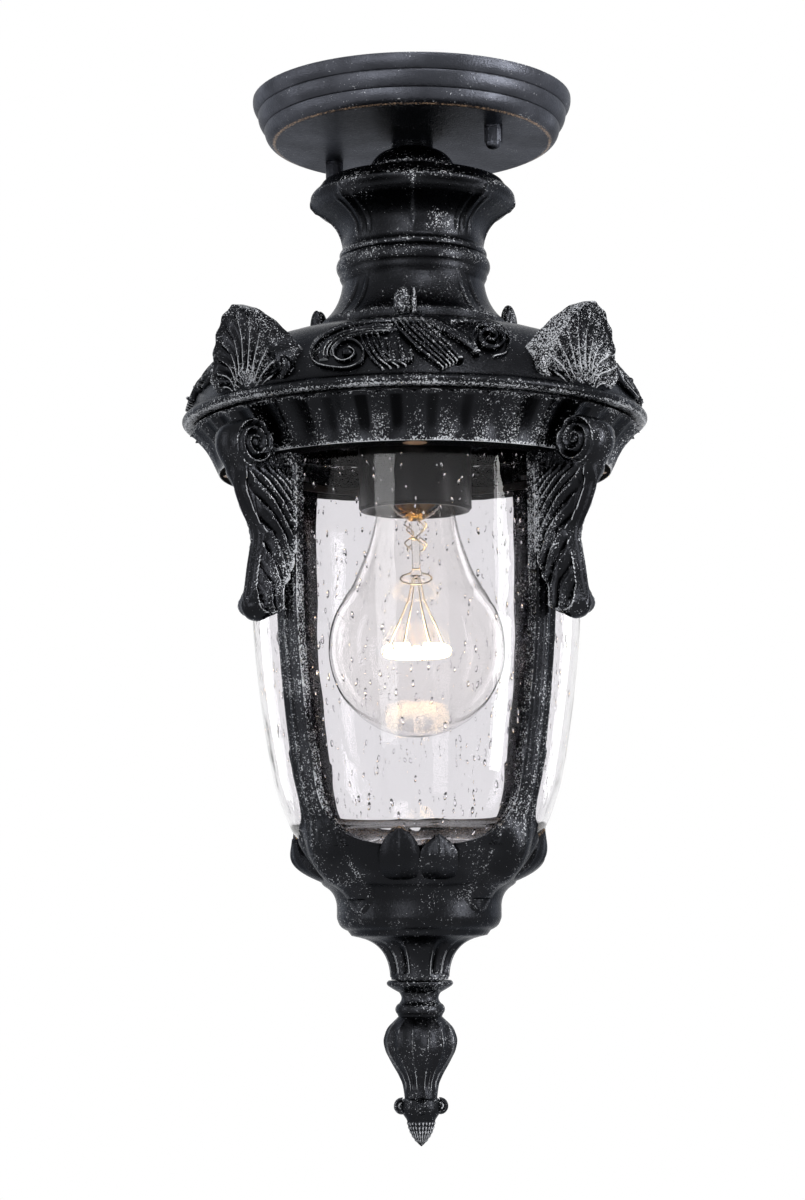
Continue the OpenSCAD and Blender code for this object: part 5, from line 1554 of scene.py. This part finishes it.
def outline_normals(line):
    """Unit vectors that point out of a closed outline that runs anticlockwise or clockwise."""
    step = np.roll(line, -1, 0) - np.roll(line, 1, 0)
    side = np.stack([step[:, 1], -step[:, 0]], 1)
    side /= np.maximum(np.linalg.norm(side, axis=1)[:, None], 1e-9)
    x, y = line[:, 0], line[:, 1]
    area = (x * np.roll(y, -1) - np.roll(x, -1) * y).sum()
    return side * (1 if area > 0 else -1)


def bracket_spine(line):
    """1 along the bracket's front edge, where its spine is rounded, and 0 on its back."""
    front = smoothstep(line[:, 0], 69.5, 72)
    return front * (1 - smoothstep(line[:, 1], EYE_Z + 4, EYE_Z + 7))


def make_brackets():
    """A bracket on each rib."""
    geometry = bracket_geometry()

    def brush_for(angle):
        def brush_and_shade(x, y, z):
            along, across = from_axis(x, y, angle)
            across = np.abs(across)
            face = smoothstep(across, 4.0, 5.4)
            leaf = smoothstep(RIM_LOW - 24 - z, 0, 6)
            inner = np.interp(z, [EYE_Z - 52, EYE_Z - 46, EYE_Z - 35, EYE_Z - 10],
                              [66.2, 65.6, 60.9, 60.9])
            border = bell(along, inner + 0.7, 1.3) * (across > 2.6)
            return 0.32 * face * leaf + 0.45 * border * leaf - 0.14
        return brush_and_shade

    def bronze_for(angle):
        def bronze(x, y, z):
            along, _ = from_axis(x, y, angle)
            return 0.5 * bell(along, 74, 2.2) * smoothstep(z, SKIRT_Z - 3.4, SKIRT_Z - 1.8)
        return bronze

    def edge(x, y, z):
        """Less silver on the volute's coil than on the leaf."""
        return 1.2 - 0.2 * smoothstep(z, EYE_Z - 9, EYE_Z - 6)

    for angle, corner in zip(CORNERS, CORNER_NAMES):
        add_piece("scroll_bracket_" + corner, turned(geometry, angle), "gloss", "cage",
                  ["bracket_" + corner], brush_for(angle), bronze_for(angle),
                  wear=0.30, edge=edge, sharp=50)


# ---------------------------------------------------------------- glass


def make_glass():
    """The jar and the bubbles in its wall."""
    side = jar_line()
    bottom = bow([24, GLASS_LOW + 1.6], [0, GLASS_LOW], 0.5, 12)
    inner = ([[p[0] - GLASS_T, p[1]] for p in side if p[1] > GLASS_LOW + 13]
             + bow([GLASS_R - 16.6, GLASS_LOW + 13.6], [24, GLASS_LOW + 4.6], 1.8, 14)
             + bow([20, GLASS_LOW + 3.9], [0, GLASS_LOW + GLASS_T], 0.4, 10))
    add_piece("seeded_jar", lathe(spaced(side + bottom, 2.4) + inner[::-1], 192), "jar", "cage",
              ["glass_jar"], sharp=60)
    middle = [[p[0] - GLASS_T * 0.42, p[1]] for p in spaced(side, 3) if p[1] < RING_Z + 1]
    around, mean_r = 96, 50
    sheet = lathe(middle, around)[0], grid_faces(len(middle), around, False, True)
    area = 2 * math.pi * mean_r * (middle[0][1] - middle[-1][1])
    s = sizes()
    tree_piece("glass_seeds", sheet, TREES["seeds"],
               {"Density": 2.2 * s.seeds / (area * MM * MM), "Spacing": 1.6 * MM,
                "Length": s.seed_length, "Seed": 4}, "seed", "cage", (),
               keep_faces=True)


# ---------------------------------------------------------------- finial


def make_finial():
    """The finial with its gadroons, four volutes and acorn tip."""
    bulb = 12.3
    line = (bow([10.4, 0], [10.4, -2], 0.7, 8) + [[8.8, -3]] + bow([7, -4], [7, -7.6], -0.8, 8)
            + bow([7.6, -8], [7.6, -11.2], 0.7, 8)
            + smooth_path([[7.3, -12], [10.7, -15.4], [bulb - 0.4, -18], [bulb, -20.3],
                           [bulb - 0.7, -23.3],
                           [10.2, -25.8], [8.7, -28.2], [7.4, -30.2], [6.5, -32], [5.7, -34.4],
                           [5.4, -38.8]], 60).tolist()
            + bow([6.2, -39.4], [5.4, -45], 0.8, 10) + bow([4.7, -46], [0, -FINIAL_H], 1, 18))
    outline = [[0, FINIAL_Z]] + [[r, z + FINIAL_Z] for r, z in spaced(line, 0.5)]
    count = sizes().gadroons

    def shape(r, z, a):
        depth = FINIAL_Z - z
        acorn = smoothstep(depth, 45.6, 46.4) * smoothstep(r, 0.4, 2.0)
        bumps = 0.28 * np.sin(a * 12 + depth * 2.2) * np.sin(a * 12 - depth * 2.2) * acorn
        side = np.cos(4 * a)
        leaf = 0.55 * side * bell(depth, 31, 9) * (side > -0.4)
        return r + bumps + leaf, z

    def flute(x, y, z):
        depth = FINIAL_Z - z
        on_bulb = smoothstep(depth, 12.6, 15.5) * (1 - smoothstep(depth, 33, 38))
        return on_bulb * (0.45 + 0.55 * bell(depth, 19, 7))

    body = lathe(outline, 196, shape)
    volutes, volute_r, volute_depth = [], 6.4, 41.6
    points = spiral([volute_r, 0], 100, -420, 2.5, 0.55, 1.0, 70)
    for angle in SIDES:
        for face in (-1, 1):
            def place(x, s, h, face=face):
                return np.stack([x, face * (1.1 + h), s - volute_depth + FINIAL_Z], -1)
            coil = ribbon(points, [1.0, 1.1, 1.0, 0.8], [0.55, 0.6, 0.6], place, 8, 1.0)
            volutes.append(turned(coil, angle))
        disc = ball([volute_r, 0, FINIAL_Z - volute_depth], [2.6, 1.4, 2.6], 28, 16)
        volutes.append(turned(disc, angle))

    def brush_and_shade(x, y, z):
        depth = FINIAL_Z - z
        return 0.16 * smoothstep(depth, 44, 48) + 0.06 * bell(depth, 40, 4) - 0.06

    return tree_piece("finial_casting", joined(body, *volutes), TREES["flutes"],
                      {"Count": count, "Depth": 0.85 * MM, "Sharpness": 0.7},
                      "cast", "finial", ["finial"], brush_and_shade, None, flute,
                      wear=0.28, sharp=50)


# ---------------------------------------------------------------- lamp


def make_lamp():
    """The lamp's glass, stem, filament and wires."""
    join = math.radians(40)
    neck = BASE_R - 1
    line = ([[neck, BASE_LOW + 4], [neck, BASE_LOW - 1]]
            + bow([BASE_R + 0.2, BASE_LOW - 3],
                  [LAMP_R * math.cos(join), GLOBE_Z + LAMP_R * math.sin(join)], -1.6, 18)
            + [[LAMP_R * math.cos(math.radians(a)), GLOBE_Z + LAMP_R * math.sin(math.radians(a))]
               for a in range(37, -90, -3)] + [[0, LAMP_LOW]])
    wall = 0.55
    inner = [[p[0] - wall, p[1]] for p in line if p[0] > 3] + [[0, LAMP_LOW + wall]]
    add_piece("lamp_bulb", lathe(line + inner[::-1], 160), "lamp_glass", "lamp", ["lamp_globe"],
              sharp=60)
    stem_low = low("lamp_stem").z
    top = high("lamp_stem").z
    flare = high("lamp_stem").x
    stem = ([[0, stem_low]] + bow([0.6, stem_low], [2.2, stem_low + 2], 0.5, 5)
            + [[2.2, stem_low + 3], [1.5, stem_low + 4.2], [1.5, top - 12]]
            + bow([1.6, top - 12], [flare, top], -2.2, 12) + [[0, top]])
    add_piece("lamp_stem_press", lathe(stem, 64), "stem_glass", "lamp", ["lamp_stem"],
              sharp=60)
    tree_piece("filament_coil", (np.zeros((1, 3)), []), TREES["coil"],
               {"Ring radius": FILAMENT_R * MM, "Coil radius": 1.7 * MM, "Wire radius": 0.36 * MM,
                "Turns": 62.0, "Height": FILAMENT_Z * MM}, "filament", "lamp", ["lamp_filament"],
               keep_faces=True)
    wires = []
    for k in range(6):
        a = math.radians(60 * k)
        start = np.array([1.2 * math.cos(a), 1.2 * math.sin(a), stem_low + 1.2])
        knee = np.array([3.2 * math.cos(a), 3.2 * math.sin(a), stem_low - 6.5])
        end = np.array([FILAMENT_R * math.cos(a), FILAMENT_R * math.sin(a), FILAMENT_Z + 0.7])
        points = smooth_path([start, knee, end], 16)
        wires.append(wire(points, 0.22 if k % 3 else 0.36))
    # A hoop round the stem, and the loops of the lead wires below the press
    hoop = [[5.3 * math.cos(a), 5.3 * math.sin(a), FILAMENT_Z + 24 + 2.6 * math.sin(a)]
            for a in np.linspace(0, 6.2, 40)]
    wires.append(wire(hoop, 0.3))
    for k in range(4):
        a = math.radians(90 * k + 35)
        out = np.array([math.cos(a), math.sin(a), 0])
        side = np.array([-math.sin(a), math.cos(a), 0])
        loop = [out * (2.6 + 1.5 * math.sin(t)) + side * 1.3 * math.cos(t)
                + [0, 0, FILAMENT_Z + 38 + 1.1 * (t - 4)] for t in np.linspace(0, 9.4, 40)]
        wires.append(wire(loop, 0.24))
    add_piece("support_wires", joined(*wires), "support", "lamp", ["lamp_supports"],
              sharp=60)


def wire(points, radius, around=8):
    """A round wire along 3-D points, closed at both ends."""
    points = np.array(points, float)
    along = np.gradient(points, axis=0)
    along /= np.linalg.norm(along, axis=1)[:, None]
    side = np.cross(along, [0.31, 0.17, 0.93])
    side /= np.linalg.norm(side, axis=1)[:, None]
    up = np.cross(along, side)
    a = np.linspace(0, 2 * math.pi, around, endpoint=False)
    verts = (points[:, None] + radius * (np.cos(a)[None, :, None] * side[:, None]
                                         + np.sin(a)[None, :, None] * up[:, None]))
    return verts.reshape(-1, 3), tube_faces(len(points), around)


# ---------------------------------------------------------------- stage


# Rectangular lights: place, width and height in metres, power in watts
SOFTBOXES = {
    "key_right": ((1.25, -0.64, 0.0), 0.27, 1.3, 19),
    "fill_left": ((-0.518, -1.355, 0.0), 0.34, 1.3, 8),
    "side_left": ((-1.35, -0.25, 0.0), 0.20, 1.3, 5),
    "rim_left": ((-0.9, 0.9, 0.1), 0.3, 1.2, 2.0),
    "rim_right": ((0.95, 0.85, 0.1), 0.3, 1.2, 2.5),
    "front_high": ((0.45, -1.25, 0.95), 0.4, 0.25, 9),
}
LIGHT_TARGET = (0, 0, -0.18)
LAMP_POWER = 0.8
LAMP_COLOUR = (1.0, 0.78, 0.52)
LAMP_SOFTNESS = 0.002


def make_lights():
    """Soft rectangular lights, and the light of the filament."""
    for name, (place, width, height, power) in SOFTBOXES.items():
        light = bpy.data.lights.new(name, "AREA")
        light.shape = "RECTANGLE"
        light.size, light.size_y, light.energy = width, height, power
        softbox = placed(name, light)
        softbox.location = place
        aim = Vector(LIGHT_TARGET) - Vector(place)
        softbox.rotation_euler = aim.to_track_quat("-Z", "Y").to_euler()
    bulb = bpy.data.lights.new("lamp_light", "POINT")
    bulb.energy, bulb.color, bulb.shadow_soft_size = LAMP_POWER, LAMP_COLOUR, LAMP_SOFTNESS
    placed("lamp_light", bulb).location = (0, 0, FILAMENT_Z * MM)


def seen_rays(tree):
    """1 for what the camera sees straight, mirrored or through glass, 0 for plain light."""
    path = tree.node("ShaderNodeLightPath", output="Is Camera Ray")
    outputs = path.output.node.outputs
    seen = path + Socket(tree, outputs["Is Glossy Ray"])
    return (seen + Socket(tree, outputs["Is Transmission Ray"])).math("MINIMUM", 1.0)


def make_world():
    """White to the camera, to reflections and through glass; a plain level of light elsewhere."""
    world = bpy.data.worlds.new("studio")
    world.use_nodes = True
    bpy.context.scene.world = world
    tree = Tree(world.node_tree)
    tree.tree.nodes.clear()
    white = tree.node("ShaderNodeBackground", {}, {"Color": (1, 1, 1, 1), "Strength": 1.0})
    grey = tree.node("ShaderNodeBackground", {}, {"Color": (0.9, 0.93, 1, 1), "Strength": 0.32})
    both = tree.node("ShaderNodeMixShader", {}, {0: seen_rays(tree), 1: grey, 2: white})
    tree.node("ShaderNodeOutputWorld", {}, {"Surface": both})


def make_floor():
    """A plain pale floor far below the hanging lantern."""
    radius, low_z = 2600, FLOOR_Z - 2
    outline = [[0, FLOOR_Z], [radius, FLOOR_Z], [radius, low_z], [0, low_z]]
    floor = placed("studio_floor", new_mesh("studio_floor", lathe(outline, 96), 0.01))
    made = Finish("studio_floor")
    plain = made.node("ShaderNodeBsdfDiffuse", {}, {"Color": (0.82, 0.82, 0.82, 1)})
    white = made.node("ShaderNodeEmission", {}, {"Color": (1, 1, 1, 1), "Strength": 1.0})
    both = made.node("ShaderNodeMixShader", {}, {0: seen_rays(made), 1: plain, 2: white})
    made.node("ShaderNodeOutputMaterial", {}, {"Surface": both})
    floor.data.materials.append(made.material)


CAMERA_DISTANCE = 0.944
CAMERA_HEIGHT = -0.2902
CAMERA_PITCH = 7.0
CAMERA_YAW = -0.285
CAMERA_ROLL = -0.50
CAMERA_SENSOR = 36
CAMERA_LENS = 84
CAMERA_END = 50


def make_camera():
    """The photograph's view of the lantern."""
    camera = bpy.data.cameras.new("camera")
    camera.sensor_width, camera.lens = CAMERA_SENSOR, CAMERA_LENS
    camera.clip_end = CAMERA_END
    viewer = placed("camera", camera)
    viewer.location = (0, -CAMERA_DISTANCE, CAMERA_HEIGHT)
    aim = (Matrix.Rotation(math.radians(-CAMERA_YAW), 4, "Z")
           @ Matrix.Rotation(math.radians(90 + CAMERA_PITCH), 4, "X")
           @ Matrix.Rotation(math.radians(CAMERA_ROLL), 4, "Z"))
    viewer.rotation_euler = aim.to_euler()
    bpy.context.scene.camera = viewer


# ---------------------------------------------------------------- operators


class LANTERN_OT_stage(bpy.types.Operator):
    """Camera, studio light and floor"""
    bl_idname = "lantern.stage"
    bl_label = "Stage"

    def execute(self, context):
        scene = bpy.context.scene
        scene.view_settings.view_transform = "Standard"
        make_camera()
        make_world()
        make_floor()
        make_lights()
        return {"FINISHED"}


class LANTERN_OT_materials(bpy.types.Operator):
    """Materials and node trees of the lantern"""
    bl_idname = "lantern.materials"
    bl_label = "Materials"

    def execute(self, context):
        make_materials()
        TREES.update(flutes=flute_tree(), ring=ring_tree(), seeds=seed_tree(), coil=coil_tree())
        return {"FINISHED"}


class LANTERN_OT_canopy(bpy.types.Operator):
    """Canopy, its hardware and its cap nuts"""
    bl_idname = "lantern.canopy"
    bl_label = "Canopy"

    def execute(self, context):
        make_canopy()
        dress("canopy", "cap_nut_right", "cap_nut_left", "cap_washer_right", "cap_washer_left")
        dress("strap", "mounting_strap")
        dress("steel", "strap_studs", "stud_lock_nuts", "nipple_washer")
        dress("green", "ground_screw")
        dress("copper", "ground_lead")
        dress("orange", "wire_nuts")
        dress("black_wire", "lead_black")
        dress("white_wire", "lead_white")
        dress("brass", "nipple", "nipple_nut")
        return {"FINISHED"}


class LANTERN_OT_neck(bpy.types.Operator):
    """Collar and fluted neck"""
    bl_idname = "lantern.neck"
    bl_label = "Neck"

    def execute(self, context):
        make_collar()
        make_neck()
        return {"FINISHED"}


class LANTERN_OT_roof(bpy.types.Operator):
    """Roof with its corner shells and relief scrolls"""
    bl_idname = "lantern.roof"
    bl_label = "Roof"

    def execute(self, context):
        make_roof()
        make_shells()
        make_reliefs()
        return {"FINISHED"}


class LANTERN_OT_cage(bpy.types.Operator):
    """Skirt, ring plate and cage with its basket"""
    bl_idname = "lantern.cage"
    bl_label = "Cage"

    def execute(self, context):
        make_skirt()
        make_cage()
        make_brackets()
        dress("ring", "ring_plate")
        dress("bronze", "cage_screws")
        dress("steel", "ring_screws", "bracket_screws", "finial_stud")
        dress("gasket", "glass_collar", "glass_seat")
        return {"FINISHED"}


class LANTERN_OT_glass(bpy.types.Operator):
    """Seeded glass jar"""
    bl_idname = "lantern.glass"
    bl_label = "Glass jar"

    def execute(self, context):
        make_glass()
        return {"FINISHED"}


class LANTERN_OT_finial(bpy.types.Operator):
    """Finial under the basket"""
    bl_idname = "lantern.finial"
    bl_label = "Finial"

    def execute(self, context):
        make_finial()
        dress("canopy", "finial_washer")
        return {"FINISHED"}


class LANTERN_OT_lamp(bpy.types.Operator):
    """Socket and lamp"""
    bl_idname = "lantern.lamp"
    bl_label = "Socket and lamp"

    def execute(self, context):
        make_lamp()
        dress("socket", "socket_cap", "socket_body")
        dress("shell_metal", "socket_screw_shell")
        dress("brass", "socket_contact", "terminal_screws")
        dress("tip", "lamp_tip")
        dress("insulator", "lamp_insulator")
        dress("base", "lamp_base")
        return {"FINISHED"}


class LANTERN_PT_panel(bpy.types.Panel):
    """Sizes, colours and steps of the lantern"""
    bl_idname = "LANTERN_PT_panel"
    bl_label = "Lantern"
    bl_space_type = "VIEW_3D"
    bl_region_type = "UI"
    bl_category = "Lantern"

    def draw(self, context):
        layout = self.layout
        for group in (context.scene.lantern_sizes, context.scene.lantern_colours):
            for name in group.bl_rna.properties.keys():
                if name not in ("rna_type", "name"):
                    layout.prop(group, name)
        for step in STEPS:
            layout.operator(step.bl_idname)


STEPS = (LANTERN_OT_stage, LANTERN_OT_materials, LANTERN_OT_canopy, LANTERN_OT_neck,
         LANTERN_OT_roof, LANTERN_OT_cage, LANTERN_OT_glass, LANTERN_OT_finial, LANTERN_OT_lamp)
CLASSES = (LanternSizes, LanternColours, *STEPS, LANTERN_PT_panel)


def register():
    """Makes the sizes, colours, steps and panel known."""
    for item in CLASSES:
        bpy.utils.register_class(item)
    bpy.types.Scene.lantern_sizes = PointerProperty(type=LanternSizes)
    bpy.types.Scene.lantern_colours = PointerProperty(type=LanternColours)


def unregister():
    """Takes them away again."""
    del bpy.types.Scene.lantern_colours
    del bpy.types.Scene.lantern_sizes
    for item in reversed(CLASSES):
        bpy.utils.unregister_class(item)


def main():
    """Builds the lantern step by step."""
    register()
    bpy.ops.lantern.stage()
    bpy.ops.lantern.materials()
    bpy.ops.lantern.canopy()
    bpy.ops.lantern.neck()
    bpy.ops.lantern.roof()
    bpy.ops.lantern.cage()
    bpy.ops.lantern.glass()
    bpy.ops.lantern.finial()
    bpy.ops.lantern.lamp()


if __name__ == "__main__":
    main()
